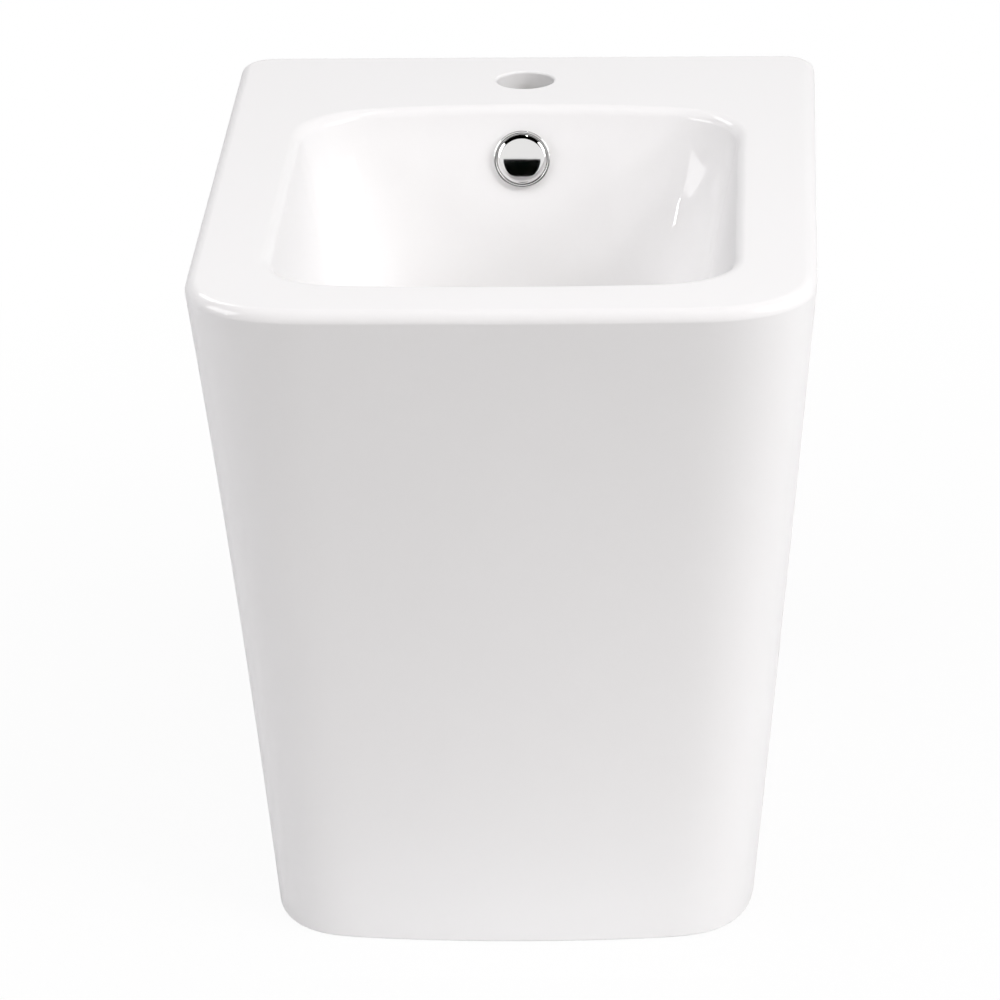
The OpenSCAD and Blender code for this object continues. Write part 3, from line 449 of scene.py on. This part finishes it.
def combine(piece, other, how, bare=False):
    """Joins or cuts with another closed piece, which is used up."""
    other.data.materials.clear()
    for finish in (GLAZE, BISQUE):
        other.data.materials.append(finish)
    for face in other.data.polygons:
        face.material_index = int(bare)
    take(piece)
    shape = piece.modifiers.new("shape", "BOOLEAN")
    shape.operation = how
    shape.solver = "EXACT"
    shape.object = other
    bpy.ops.object.modifier_apply(modifier=shape.name)
    bpy.data.objects.remove(other, do_unlink=True)


def twin(piece, name):
    """A copy with its own mesh."""
    other = piece.copy()
    other.data = piece.data.copy()
    other.name = other.data.name = name
    bpy.context.scene.collection.objects.link(other)
    return other


def arc(cx, cz, r, a0, a1, steps):
    """Points of an arc of (radius, height), in degrees."""
    out = []
    for i in range(steps + 1):
        a = math.radians(lerp(a0, a1, i/steps))
        out.append((cx + r*math.cos(a), cz + r*math.sin(a)))
    return out


def coat(piece, finish):
    """Gives the piece one finish all over."""
    piece.data.materials.clear()
    piece.data.materials.append(finish)


# ---------------------------------------------------------------- finishes
def new_effect(name, inputs, outputs):
    """An empty node group with named sockets, and its two ends."""
    effect = bpy.data.node_groups.new(name, "ShaderNodeTree")
    for label, kind in inputs:
        effect.interface.new_socket(label, in_out="INPUT", socket_type="NodeSocket" + kind)
    for label, kind in outputs:
        effect.interface.new_socket(label, in_out="OUTPUT", socket_type="NodeSocket" + kind)
    return effect, effect.nodes.new("NodeGroupInput"), effect.nodes.new("NodeGroupOutput")


def mottle_effect():
    """Soft clouds between two tones."""
    effect, given, result = new_effect(
        "mottle", [("Vector", "Vector"), ("Scale", "Float"), ("Detail", "Float"),
                   ("Dark", "Color"), ("Light", "Color")], [("Color", "Color")])
    cloud = effect.nodes.new("ShaderNodeTexNoise")
    tone = effect.nodes.new("ShaderNodeMix")
    tone.data_type = "RGBA"
    join = effect.links.new
    for label in ("Vector", "Scale", "Detail"):
        join(given.outputs[label], cloud.inputs[label])
    join(cloud.outputs["Fac"], tone.inputs["Factor"])
    join(given.outputs["Dark"], tone.inputs[6])
    join(given.outputs["Light"], tone.inputs[7])
    join(tone.outputs[2], result.inputs["Color"])
    return effect


def grain_effect():
    """Fine grain, as a roughness between two values and as a height."""
    effect, given, result = new_effect(
        "grain", [("Vector", "Vector"), ("Scale", "Float"), ("Detail", "Float"),
                  ("Low", "Float"), ("High", "Float")],
        [("Roughness", "Float"), ("Height", "Float")])
    speck = effect.nodes.new("ShaderNodeTexNoise")
    reach = effect.nodes.new("ShaderNodeMapRange")
    join = effect.links.new
    for label in ("Vector", "Scale", "Detail"):
        join(given.outputs[label], speck.inputs[label])
    join(speck.outputs["Fac"], reach.inputs["Value"])
    join(given.outputs["Low"], reach.inputs["To Min"])
    join(given.outputs["High"], reach.inputs["To Max"])
    join(reach.outputs["Result"], result.inputs["Roughness"])
    join(speck.outputs["Fac"], result.inputs["Height"])
    return effect


MOTTLE = mottle_effect()
GRAIN = grain_effect()


def new_finish(name):
    """A fresh material, its node tree and its surface shader."""
    finish = bpy.data.materials.new(name)
    finish.use_nodes = True
    return finish, finish.node_tree, finish.node_tree.nodes["Principled BSDF"]


def lay(tree, effect, **values):
    """Places an effect on the piece's own coordinates."""
    node = tree.nodes.new("ShaderNodeGroup")
    node.node_tree = effect
    own = tree.nodes.new("ShaderNodeTexCoord")
    tree.links.new(own.outputs["Object"], node.inputs["Vector"])
    for label, value in values.items():
        node.inputs[label].default_value = (*value, 1) if isinstance(value, tuple) else value
    return node.outputs


def raise_by(tree, surface, height, strength, distance):
    """Lets a height stand proud of the surface."""
    node = tree.nodes.new("ShaderNodeBump")
    node.inputs["Strength"].default_value = strength
    node.inputs["Distance"].default_value = distance
    tree.links.new(height, node.inputs["Height"])
    tree.links.new(node.outputs["Normal"], surface.inputs["Normal"])


def run_over(tree, source, start, end, first, last):
    """Goes from first to last as the source goes from start to end."""
    node = tree.nodes.new("ShaderNodeMapRange")
    for label, value in (("From Min", start), ("From Max", end),
                         ("To Min", first), ("To Max", last)):
        node.inputs[label].default_value = value
    tree.links.new(source, node.inputs["Value"])
    return node.outputs["Result"]


def glaze_finish():
    """White glaze: a faint cloudiness, and the slight waviness of a fired skin. Its gloss is
    a clear coat, thinned where a wall is seen edge-on."""
    finish, tree, surface = new_finish("white_glaze")
    tone = lay(tree, MOTTLE, Scale=6.0, Detail=2.0,
               Dark=(0.908, 0.905, 0.905), Light=(0.920, 0.917, 0.917))
    wave = lay(tree, GRAIN, Scale=28.0, Detail=1.0, Low=0.015, High=0.04)
    tree.links.new(tone["Color"], surface.inputs["Base Color"])
    tree.links.new(wave["Roughness"], surface.inputs["Roughness"])
    for label, value in (("Specular IOR Level", 0), ("Coat IOR", 1.5), ("Coat Roughness", 0.02)):
        surface.inputs[label].default_value = value
    edge_on = tree.nodes.new("ShaderNodeLayerWeight")
    gloss = run_over(tree, edge_on.outputs["Facing"], 0.70, 0.97, 0.64, 0.0)
    tree.links.new(gloss, surface.inputs["Coat Weight"])
    raise_by(tree, surface, wave["Height"], 0.02, 0.0006)
    return finish


def bare_finish():
    """Fired china without glaze: dry, warmer and slightly sandy."""
    finish, tree, surface = new_finish("bare_china")
    tone = lay(tree, MOTTLE, Scale=40.0, Detail=4.0,
               Dark=(0.70, 0.675, 0.63), Light=(0.80, 0.785, 0.75))
    sand = lay(tree, GRAIN, Scale=900.0, Detail=3.0, Low=0.58, High=0.78)
    tree.links.new(tone["Color"], surface.inputs["Base Color"])
    tree.links.new(sand["Roughness"], surface.inputs["Roughness"])
    raise_by(tree, surface, sand["Height"], 0.25, 0.0004)
    return finish


def plated_finish(name, dark, light, low, high, size, cut):
    """Bright or turned metal with fine marks of the given size."""
    finish, tree, surface = new_finish(name)
    surface.inputs["Metallic"].default_value = 1
    tone = lay(tree, MOTTLE, Scale=size*0.2, Detail=3.0, Dark=dark, Light=light)
    marks = lay(tree, GRAIN, Scale=size, Detail=4.0, Low=low, High=high)
    tree.links.new(tone["Color"], surface.inputs["Base Color"])
    tree.links.new(marks["Roughness"], surface.inputs["Roughness"])
    raise_by(tree, surface, marks["Height"], cut, 0.0002)
    return finish


def moulded_finish(name, dark, light, low, high):
    """Moulded plastic or rubber with the fine texture of its mould."""
    finish, tree, surface = new_finish(name)
    tone = lay(tree, MOTTLE, Scale=25.0, Detail=2.0, Dark=dark, Light=light)
    mould = lay(tree, GRAIN, Scale=1400.0, Detail=2.0, Low=low, High=high)
    tree.links.new(tone["Color"], surface.inputs["Base Color"])
    tree.links.new(mould["Roughness"], surface.inputs["Roughness"])
    raise_by(tree, surface, mould["Height"], 0.08, 0.0001)
    return finish


GLAZE = glaze_finish()
BISQUE = bare_finish()
CHROME = plated_finish("chrome_plate", (0.76, 0.755, 0.75), (0.80, 0.795, 0.79),
                       low=0.03, high=0.06, size=260.0, cut=0.01)
BRASS = plated_finish("turned_brass", (0.62, 0.46, 0.22), (0.72, 0.56, 0.30),
                      low=0.22, high=0.38, size=320.0, cut=0.1)
ZINC = plated_finish("zinc_plate", (0.52, 0.54, 0.56), (0.70, 0.71, 0.72),
                     low=0.25, high=0.45, size=420.0, cut=0.1)
RUBBER = moulded_finish("black_rubber", (0.018, 0.018, 0.019), (0.030, 0.030, 0.031),
                        low=0.55, high=0.75)
PLASTIC = moulded_finish("white_plastic", (0.80, 0.80, 0.78), (0.84, 0.84, 0.82),
                         low=0.28, high=0.40)
NYLON = moulded_finish("grey_nylon", (0.20, 0.205, 0.21), (0.26, 0.265, 0.27),
                       low=0.40, high=0.55)

FINISHES = {
    "ceramic_body": GLAZE, "overflow_ring": CHROME, "overflow_cover": CHROME,
    "waste_body": CHROME, "waste_top_seal": RUBBER, "waste_bottom_seal": RUBBER,
    "waste_washer": NYLON, "waste_nut": BRASS, "plug_cartridge": PLASTIC,
    "cartridge_spring": ZINC, "plug_stem": CHROME, "plug_cap": CHROME, "plug_seal": RUBBER,
    "trap_inlet_nut": PLASTIC, "trap_inlet_washer": RUBBER, "trap_inlet_pipe": PLASTIC,
    "trap_neck_nut": PLASTIC, "trap_neck_seal": RUBBER, "trap_body": PLASTIC,
    "trap_cup": PLASTIC, "trap_cup_seal": RUBBER, "trap_outlet_nut": PLASTIC,
    "trap_outlet_seal": RUBBER, "trap_outlet_pipe": PLASTIC, "fixing_brackets": ZINC,
    "fixing_sleeves": NYLON, "fixing_screws": ZINC, "fixing_caps": CHROME,
}
for node, finish in FINISHES.items():
    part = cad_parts[node]
    for slot in part.material_slots:
        slot.material = finish
    if not part.material_slots:
        coat(part, finish)


# ---------------------------------------------------------------- the china
def at_drain():
    """On the drain's axis at floor level."""
    return Matrix.Translation(from_wall((0, -DRAIN_FROM_WALL, 0)))


def at_overflow():
    """On the bowl's rear wall at the overflow, +Z pointing into the bowl."""
    place = Matrix.Translation(from_wall((0, -BOWL_FROM_WALL - rear_in(OVERFLOW_Z), OVERFLOW_Z)))
    return place @ Matrix.Rotation(math.pi/2 - REAR_LEAN, 4, "X")


def at_side(side, out):
    """On a side screw's axis, +Z pointing outwards from the body."""
    place = Matrix.Translation(from_wall((side*out, -FIXING_FROM_WALL, FIXING_Z)))
    return place @ Matrix.Rotation(side*math.pi/2, 4, "Y")


def channel_edge(off, top_z, end_z):
    """One edge of the overflow channel seen from the side, off outside the bowl's face."""
    points = [(-BOWL_FROM_WALL - rear_in(top_z) + off/math.cos(REAR_LEAN), top_z)]
    centre = -BOWL_FROM_WALL - rear_in(WALL_FOOT_Z) - FILLET_IN
    r = BOWL_FLOOR_R + off
    for i in range(13):
        a = lerp(SIDE_LEAN, math.pi/2, i/12)
        points.append((centre + r*math.cos(a), FILLET_Z - r*math.sin(a)))
    return points + [(BOSS_D/2 + 6 - DRAIN_FROM_WALL, end_z), (-DRAIN_FROM_WALL, end_z)]


def channel(name, w, off0, off1, top_z, end0, end1):
    """A bar of width w that follows the bowl's rear wall down to the drain."""
    outline = channel_edge(off0, top_z, end0) + channel_edge(off1, top_z, end1)[::-1]
    return cut_out(name, [from_wall((-w/2, y, z)) for y, z in outline], (w*0.001, 0, 0))


def boss():
    """The round boss that carries the waste."""
    r, edge = BOSS_D/2, BOSS_EDGE_R
    return turn_up("boss", [(0, BOSS_Z)] + arc(r - edge, BOSS_Z + edge, edge, -90, 0, 5)
                   + [(r, UNDER_FLOOR_Z + 2), (0, UNDER_FLOOR_Z + 2)])


def drain_cut():
    """The drain with its recess for the waste's flange, both edges rounded."""
    hole, r, edge, low = DRAIN_HOLE_D/2, RECESS_D/2, RECESS_R, FLOOR_Z - RECESS_DEPTH
    return turn_up("drain_cut", [(0, BOSS_Z - 1), (hole, BOSS_Z - 1), (hole, low)]
                   + arc(r - edge, low + edge, edge, -90, 0, 4)
                   + arc(r + edge, FLOOR_Z - edge, edge, 180, 90, 6)
                   + [(r + edge, FLOOR_Z + 4), (0, FLOOR_Z + 4)])


def tap_cut():
    """The tap hole, rounded above and below."""
    r, under, over, low = TAP_HOLE_D/2, TAP_UNDER_R, TAP_EDGE_R, UNDER_DECK_Z
    return turn_up("tap_cut", [(0, low - 2), (r + under, low - 2), (r + under, low)]
                   + arc(r + under, low + under, under, -90, -180, 4)
                   + arc(r + over, BODY_H - over, over, 180, 90, 8)
                   + [(r + over, BODY_H + 3), (0, BODY_H + 3)])


def overflow_cut():
    """The overflow's hole through the bowl's wall into the channel."""
    r, edge = OVERFLOW_HOLE_D/2, OVERFLOW_EDGE_R
    return turn_up("overflow_cut", [(0, -20), (r, -20)] + arc(r + edge, -edge, edge, 180, 90, 5)
                   + [(r + edge, 6), (0, 6)])


def chamber_cut():
    """The round chamber in the boss where the channel's water meets the waste."""
    r = CHAMBER_D/2
    return turn_up("chamber_cut", [(0, CHAMBER_Z), (r, CHAMBER_Z),
                                   (r, CHAMBER_TOP_Z), (0, CHAMBER_TOP_Z)])


def spot_out(spot_r):
    """How far out the flat spots of the side screws lie."""
    return half_w(level_of(FIXING_Z - spot_r)) - SPOT_SINK


def screw_cut(spot_r):
    """A side screw's hole, with the flat spot that its cover cap sits on."""
    r = FIXING_HOLE_D/2
    return turn_up("screw_cut", [(0, -3*WALL_T), (r, -3*WALL_T), (r, 0),
                                 (spot_r, 0), (spot_r, WALL_T), (0, WALL_T)])


def service_ring(grow, y):
    """The outline of the opening in the back, with its upper corners rounded."""
    half, r = SERVICE_W/2 + grow, SERVICE_R + grow
    centre = SERVICE_W/2 - SERVICE_R
    corner = [(centre + r*math.cos(a), SERVICE_H - SERVICE_R + r*math.sin(a))
              for a in [math.radians(5*i) for i in range(19)]]
    outline = [(half, -4)] + corner + [(-x, z) for x, z in corner[::-1]] + [(-half, -4)]
    return [(x, y, z) for x, z in outline]


def service_cut():
    """Cuts the opening in the back and rounds its lips, inside and out."""
    r = SERVICE_LIP_R
    lips = [(r, -WALL_T - 3), (r, -WALL_T)]
    for degrees in (30, 60, 90):
        a = math.radians(degrees)
        lips.append((r*(1 - math.sin(a)), -WALL_T + r*(1 - math.cos(a))))
    for degrees in (0, 22.5, 45, 67.5, 90):
        a = math.radians(degrees)
        lips.append((r*(1 - math.cos(a)), -r*(1 - math.sin(a))))
    lips += [(r, 3)]
    return pull_skin("service_cut", [service_ring(grow, y) for grow, y in lips])


def make_china():
    """The casting: one skin from under the bowl's floor, down the hollow, up the outside and
    down into the bowl, then the channel, the boss and the holes."""
    inside = bowl_under_rings() + hollow_rings()
    body = pull_skin("china_body", inside + outside_rings() + bowl_rings(), range(len(inside) + 2))
    combine(body, channel("channel_outer", CHANNEL_W + 2*CHANNEL_T,
                          BOWL_T - 3, BOWL_T + CHANNEL_GAP + CHANNEL_T, UNDER_DECK_Z + 1,
                          UNDER_FLOOR_Z + 3, BOSS_Z + 3), "UNION", True)
    stem = boss()
    place_at(stem, at_drain())
    combine(body, stem, "UNION", True)
    combine(body, channel("channel_inner", CHANNEL_W, BOWL_T - 1.5, BOWL_T + CHANNEL_GAP,
                          UNDER_DECK_Z - 4, CHAMBER_TOP_Z, CHAMBER_Z + 3), "DIFFERENCE")
    at_tap = Matrix.Translation(from_wall((0, -TAP_FROM_WALL, 0)))
    for cutter, matrix in ((chamber_cut(), at_drain()), (drain_cut(), at_drain()),
                           (overflow_cut(), at_overflow()), (tap_cut(), at_tap)):
        place_at(cutter, matrix)
        combine(body, cutter, "DIFFERENCE")
    combine(body, service_cut(), "DIFFERENCE")
    spot_r = CAP_D/2 + SPOT_GAP
    left = screw_cut(spot_r)
    right = twin(left, "screw_cut_right")
    for cutter, side in ((left, -1), (right, 1)):
        place_at(cutter, at_side(side, spot_out(spot_r)))
        combine(body, cutter, "DIFFERENCE")
    close_up(body)
    smooth(body, 28)
    even_out(body)
    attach(body, "bidet")
    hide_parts("ceramic_body")


make_china()


# ---------------------------------------------------------------- chrome overflow and plug
def make_bezel():
    """The thin raised ring round the overflow, with the spigot that holds it."""
    mouth, outer = OVERFLOW_HOLE_D/2 - LOOSE_GAP, OVERFLOW_RING_D/2
    inner, crest = outer - BEZEL_T - BEZEL_FLANK, LOOSE_GAP + BEZEL_H
    foot, end, flange = BEZEL_FOOT, LOOSE_GAP - SPIGOT_L, LOOSE_GAP + RING_FLANGE_T
    profile = [(mouth - SPIGOT_T, end), (mouth, end), (mouth, LOOSE_GAP),
               (outer - foot, LOOSE_GAP), (outer, LOOSE_GAP + foot)]
    profile += arc(outer - BEZEL_OUTER_R, crest - BEZEL_OUTER_R, BEZEL_OUTER_R, 0, 84, 7)
    profile += arc(inner + BEZEL_INNER_R, crest - 0.3, BEZEL_INNER_R, 84, 180, 5)
    profile += [(inner, flange), (mouth - SPIGOT_T, flange)]
    bezel = turn_up("overflow_bezel", profile, 128)
    place_at(bezel, at_overflow())
    smooth(bezel, 40)
    coat(bezel, CHROME)
    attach(bezel, "bidet")
    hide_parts("overflow_ring")


def make_cover():
    """The overflow's cover: nearly flat in the middle, rolled over at its edge, on three clips."""
    edge_r = OVERFLOW_RING_D/2 - BEZEL_T - COVER_GAP
    base = LOOSE_GAP + RING_FLANGE_T + COVER_LIFT
    flat_r, crown = edge_r - COVER_ROLL, COVER_CROWN_R
    top = base + COVER_H

    def level(r):
        roll = max(r - flat_r, 0)/COVER_ROLL
        return top - r*r/(2*crown) - COVER_ROLL_H*(1 - math.sqrt(max(1 - roll*roll, 0)))

    profile = [(0, base), (edge_r - COVER_FOOT, base), (edge_r, base + COVER_FOOT)]
    profile += [(flat_r + COVER_ROLL*math.cos(a), level(flat_r + COVER_ROLL*math.cos(a)))
                for a in [math.radians(5*i) for i in range(18)]]
    profile += [(flat_r*(1 - i/16), level(flat_r*(1 - i/16))) for i in range(17)]
    cover = turn_up("overflow_cover_disc", profile, 128)
    leg_r = OVERFLOW_HOLE_D/2 - LOOSE_GAP - SPIGOT_T - CLIP_GAP
    tip = LOOSE_GAP - SPIGOT_L - CLIP_TIP
    inside, hook = leg_r - CLIP_T, leg_r + CLIP_REACH
    outline = [(inside, tip + 0.5), (inside + 0.5, tip), (leg_r + 0.4, tip), (hook, tip + 0.9),
               (hook, tip + 1.7), (leg_r, tip + 1.9), (leg_r, base + 0.5), (inside, base + 0.5)]
    outline = [Vector((r*0.001, -CLIP_W*0.0005, z*0.001)) for r, z in outline]
    clip = cut_out("clip", outline, (0, CLIP_W*0.001, 0))
    for degrees in (90, 210, 330):
        leg = twin(clip, "clip_leg")
        place_at(leg, Matrix.Rotation(math.radians(degrees), 4, "Z"))
        combine(cover, leg, "UNION")
    bpy.data.objects.remove(clip, do_unlink=True)
    place_at(cover, at_overflow())
    close_up(cover)
    smooth(cover, 40)
    coat(cover, CHROME)
    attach(cover, "bidet")
    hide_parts("overflow_cover")


def make_plug_cap():
    """The plug's domed cap with its edge rolled round, and the hub that holds the stem."""
    r, hub, edge = PLUG_D/2, HUB_D/2, PLUG_EDGE_R
    stem, bore = STEM_BORE_D/2, HUB_BORE_D/2
    ball = (r*r + PLUG_DOME*PLUG_DOME)/(2*PLUG_DOME)
    lean = math.degrees(math.asin((r - edge)/(ball - edge)))
    profile = [(0, STEM_GRIP), (stem, STEM_GRIP), (stem, -HUB_WEB),
               (bore, -HUB_WEB), (bore, -HUB_H)]
    profile += arc(hub - HUB_EDGE_R, HUB_EDGE_R - HUB_H, HUB_EDGE_R, -90, 0, 4)
    profile += arc(hub + HUB_ROOT_R, -HUB_ROOT_R, HUB_ROOT_R, 180, 90, 4)
    profile += arc(r - edge, edge, edge, -90, 90 - lean, 10)
    start = r - edge + edge*math.cos(math.radians(90 - lean))
    for i in range(1, 21):
        x = start*(1 - i/20)
        profile.append((x, PLUG_H - ball + math.sqrt(ball*ball - x**2)))
    cap = turn_up("plug_cap_shell", profile, 128)
    place_at(cap, at_drain() @ Matrix.Translation((0, 0, PLUG_Z*0.001)))
    smooth(cap, 40)
    coat(cap, CHROME)
    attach(cap, "plug")
    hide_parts("plug_cap")


def make_fixing_caps():
    """The round cover caps over the side screws, one made and one copied."""
    r, roof = CAP_D/2, CAP_H - CAP_ROOF_T
    left = turn_up("fixing_cap_left", [(0, roof), (r - CAP_WALL_T, roof), (r - CAP_WALL_T, 0)]
                   + arc(r - CAP_FOOT_R, CAP_FOOT_R, CAP_FOOT_R, -90, 0, 3)
                   + arc(r - CAP_EDGE_R, CAP_H - CAP_EDGE_R, CAP_EDGE_R, 0, 90, 10) + [(0, CAP_H)])
    right = twin(left, "fixing_cap_right")
    for cap, side in ((left, -1), (right, 1)):
        place_at(cap, at_side(side, spot_out(r + SPOT_GAP) + SLEEVE_FLANGE_T))
        smooth(cap, 40)
        coat(cap, CHROME)
        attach(cap, "bidet")
        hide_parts("fixing_caps")


make_bezel()
make_cover()
make_plug_cap()
make_fixing_caps()


# ---------------------------------------------------------------- studio
def white_to_the_eye(tree, shader, share):
    """Shows the shader as white paper to the camera and in reflections, by a share or its mask."""
    rays = tree.nodes.new("ShaderNodeLightPath")
    seen = tree.nodes.new("ShaderNodeMath")
    seen.operation = "MAXIMUM"
    tree.links.new(rays.outputs["Is Camera Ray"], seen.inputs[0])
    mirrored = tree.nodes.new("ShaderNodeMath")
    mirrored.operation = "MAXIMUM"
    tree.links.new(rays.outputs["Is Glossy Ray"], mirrored.inputs[0])
    tree.links.new(rays.outputs["Is Transmission Ray"], mirrored.inputs[1])
    tree.links.new(mirrored.outputs[0], seen.inputs[1])
    part = tree.nodes.new("ShaderNodeMath")
    part.operation = "MULTIPLY"
    if isinstance(share, float):
        part.inputs[1].default_value = share
    else:
        tree.links.new(share, part.inputs[1])
    tree.links.new(seen.outputs[0], part.inputs[0])
    white = tree.nodes.new("ShaderNodeEmission")
    white.inputs["Strength"].default_value = 1.0
    mix = tree.nodes.new("ShaderNodeMixShader")
    tree.links.new(part.outputs[0], mix.inputs["Fac"])
    tree.links.new(shader.outputs[0], mix.inputs[1])
    tree.links.new(white.outputs[0], mix.inputs[2])
    return mix


def lay_floor():
    """A plain pale floor, whiter to the eye as it runs away from the object."""
    let_go()
    bpy.ops.mesh.primitive_plane_add(size=8, location=(0, 0, -0.0005))
    floor = bpy.context.object
    floor.name = floor.data.name = "studio_floor"
    paper, tree, surface = new_finish("studio_paper")
    tone = lay(tree, MOTTLE, Scale=3.0, Detail=2.0,
               Dark=(0.86, 0.86, 0.86), Light=(0.88, 0.88, 0.88))
    tree.links.new(tone["Color"], surface.inputs["Base Color"])
    surface.inputs["Roughness"].default_value = 0.9
    surface.inputs["Specular IOR Level"].default_value = 0.1
    own = tree.nodes.new("ShaderNodeTexCoord")
    away = tree.nodes.new("ShaderNodeVectorMath")
    away.operation = "LENGTH"
    tree.links.new(own.outputs["Object"], away.inputs[0])
    share = run_over(tree, away.outputs["Value"], 0.25, 1.0, 0.93, 1.0)
    mix = white_to_the_eye(tree, surface, share)
    tree.links.new(mix.outputs[0], tree.nodes["Material Output"].inputs["Surface"])
    coat(floor, paper)
    settle(floor)


lay_floor()

world = bpy.data.worlds.new("studio")
bpy.context.scene.world = world
world.use_nodes = True
air = world.node_tree
room = air.nodes["Background"]
room.inputs["Color"].default_value = (*ROOM_COLOUR, 1)
room.inputs["Strength"].default_value = ROOM_LIGHT
mix = white_to_the_eye(air, room, 1.0)
air.links.new(mix.outputs[0], air.nodes["World Output"].inputs["Surface"])


def soft_box(name, place, aim, width, height, power, colour):
    """A square lamp that lights surfaces and shows in no reflection."""
    data = bpy.data.lights.new(name, "AREA")
    data.shape = "RECTANGLE"
    data.size, data.size_y = width, height
    data.energy = power
    data.color = colour
    lamp = bpy.data.objects.new(name, data)
    bpy.context.scene.collection.objects.link(lamp)
    lamp.visible_camera = lamp.visible_glossy = False
    lamp.location = place
    lamp.rotation_euler = (Vector(aim) - Vector(place)).to_track_quat("-Z", "Y").to_euler()


def mirror_card(name, place, aim, width, height, brightness, round_below):
    """A card that only reflections show: bright for a lamp's face, dark for the room behind."""
    let_go()
    if round_below:
        bpy.ops.mesh.primitive_circle_add(vertices=96, radius=0.5, fill_type="NGON")
        card = bpy.context.object
        bpy.ops.object.mode_set(mode="EDIT")
        bpy.ops.mesh.select_all(action="SELECT")
        bpy.ops.mesh.bisect(plane_co=(0, 0, 0), plane_no=(0, 1, 0), clear_outer=True)
        bpy.ops.mesh.select_all(action="SELECT")
        bpy.ops.transform.resize(value=(1, 2, 1), center_override=(0, -0.5, 0))
        bpy.ops.object.mode_set(mode="OBJECT")
    else:
        bpy.ops.mesh.primitive_plane_add(size=1)
        card = bpy.context.object
    card.name = card.data.name = name
    card.scale = (width, height, 1)
    settle(card)
    turn = (Vector(aim) - Vector(place)).to_track_quat("Z", "Y").to_matrix().to_4x4()
    place_at(card, Matrix.Translation(place) @ turn)
    finish, tree, surface = new_finish(name)
    tone = lay(tree, MOTTLE, Scale=2.0, Detail=1.0, Dark=(0.9, 0.9, 0.9), Light=(1.0, 1.0, 1.0))
    surface.inputs["Base Color"].default_value = (0, 0, 0, 1)
    surface.inputs["Specular IOR Level"].default_value = 0
    tree.links.new(tone["Color"], surface.inputs["Emission Color"])
    surface.inputs["Emission Strength"].default_value = brightness
    coat(card, finish)
    card.visible_camera = card.visible_diffuse = False
    card.visible_transmission = card.visible_shadow = False


for lamp in LAMPS:
    soft_box(*lamp)
for card in CARDS:
    mirror_card(*card)

# ---------------------------------------------------------------- camera
# The focal length is in pixels of a picture 1000 pixels wide, the angles in radians.
YAW, PITCH, ROLL, FOCAL = -0.04996594, 0.37075325, -0.02057154, 6278.05
CAMERA_AT = (0.163331, -3.495692, 1.556809)
lens = bpy.data.cameras.new("camera")
lens.sensor_fit = "HORIZONTAL"
lens.sensor_width = 36.0
lens.lens = FOCAL*lens.sensor_width/1000
lens.clip_end = 50
camera = bpy.data.objects.new("camera", lens)
bpy.context.scene.collection.objects.link(camera)
forward = Vector((math.sin(YAW)*math.cos(PITCH), math.cos(YAW)*math.cos(PITCH), -math.sin(PITCH)))
level = Vector((math.cos(YAW), -math.sin(YAW), 0))
over = level.cross(forward)
right = level*math.cos(ROLL) + over*math.sin(ROLL)
up = over*math.cos(ROLL) - level*math.sin(ROLL)
turn = Matrix((right, up, -forward)).transposed().to_4x4()
camera.matrix_world = Matrix.Translation(CAMERA_AT) @ turn
bpy.context.scene.camera = camera

bpy.context.scene.view_settings.view_transform = "Standard"
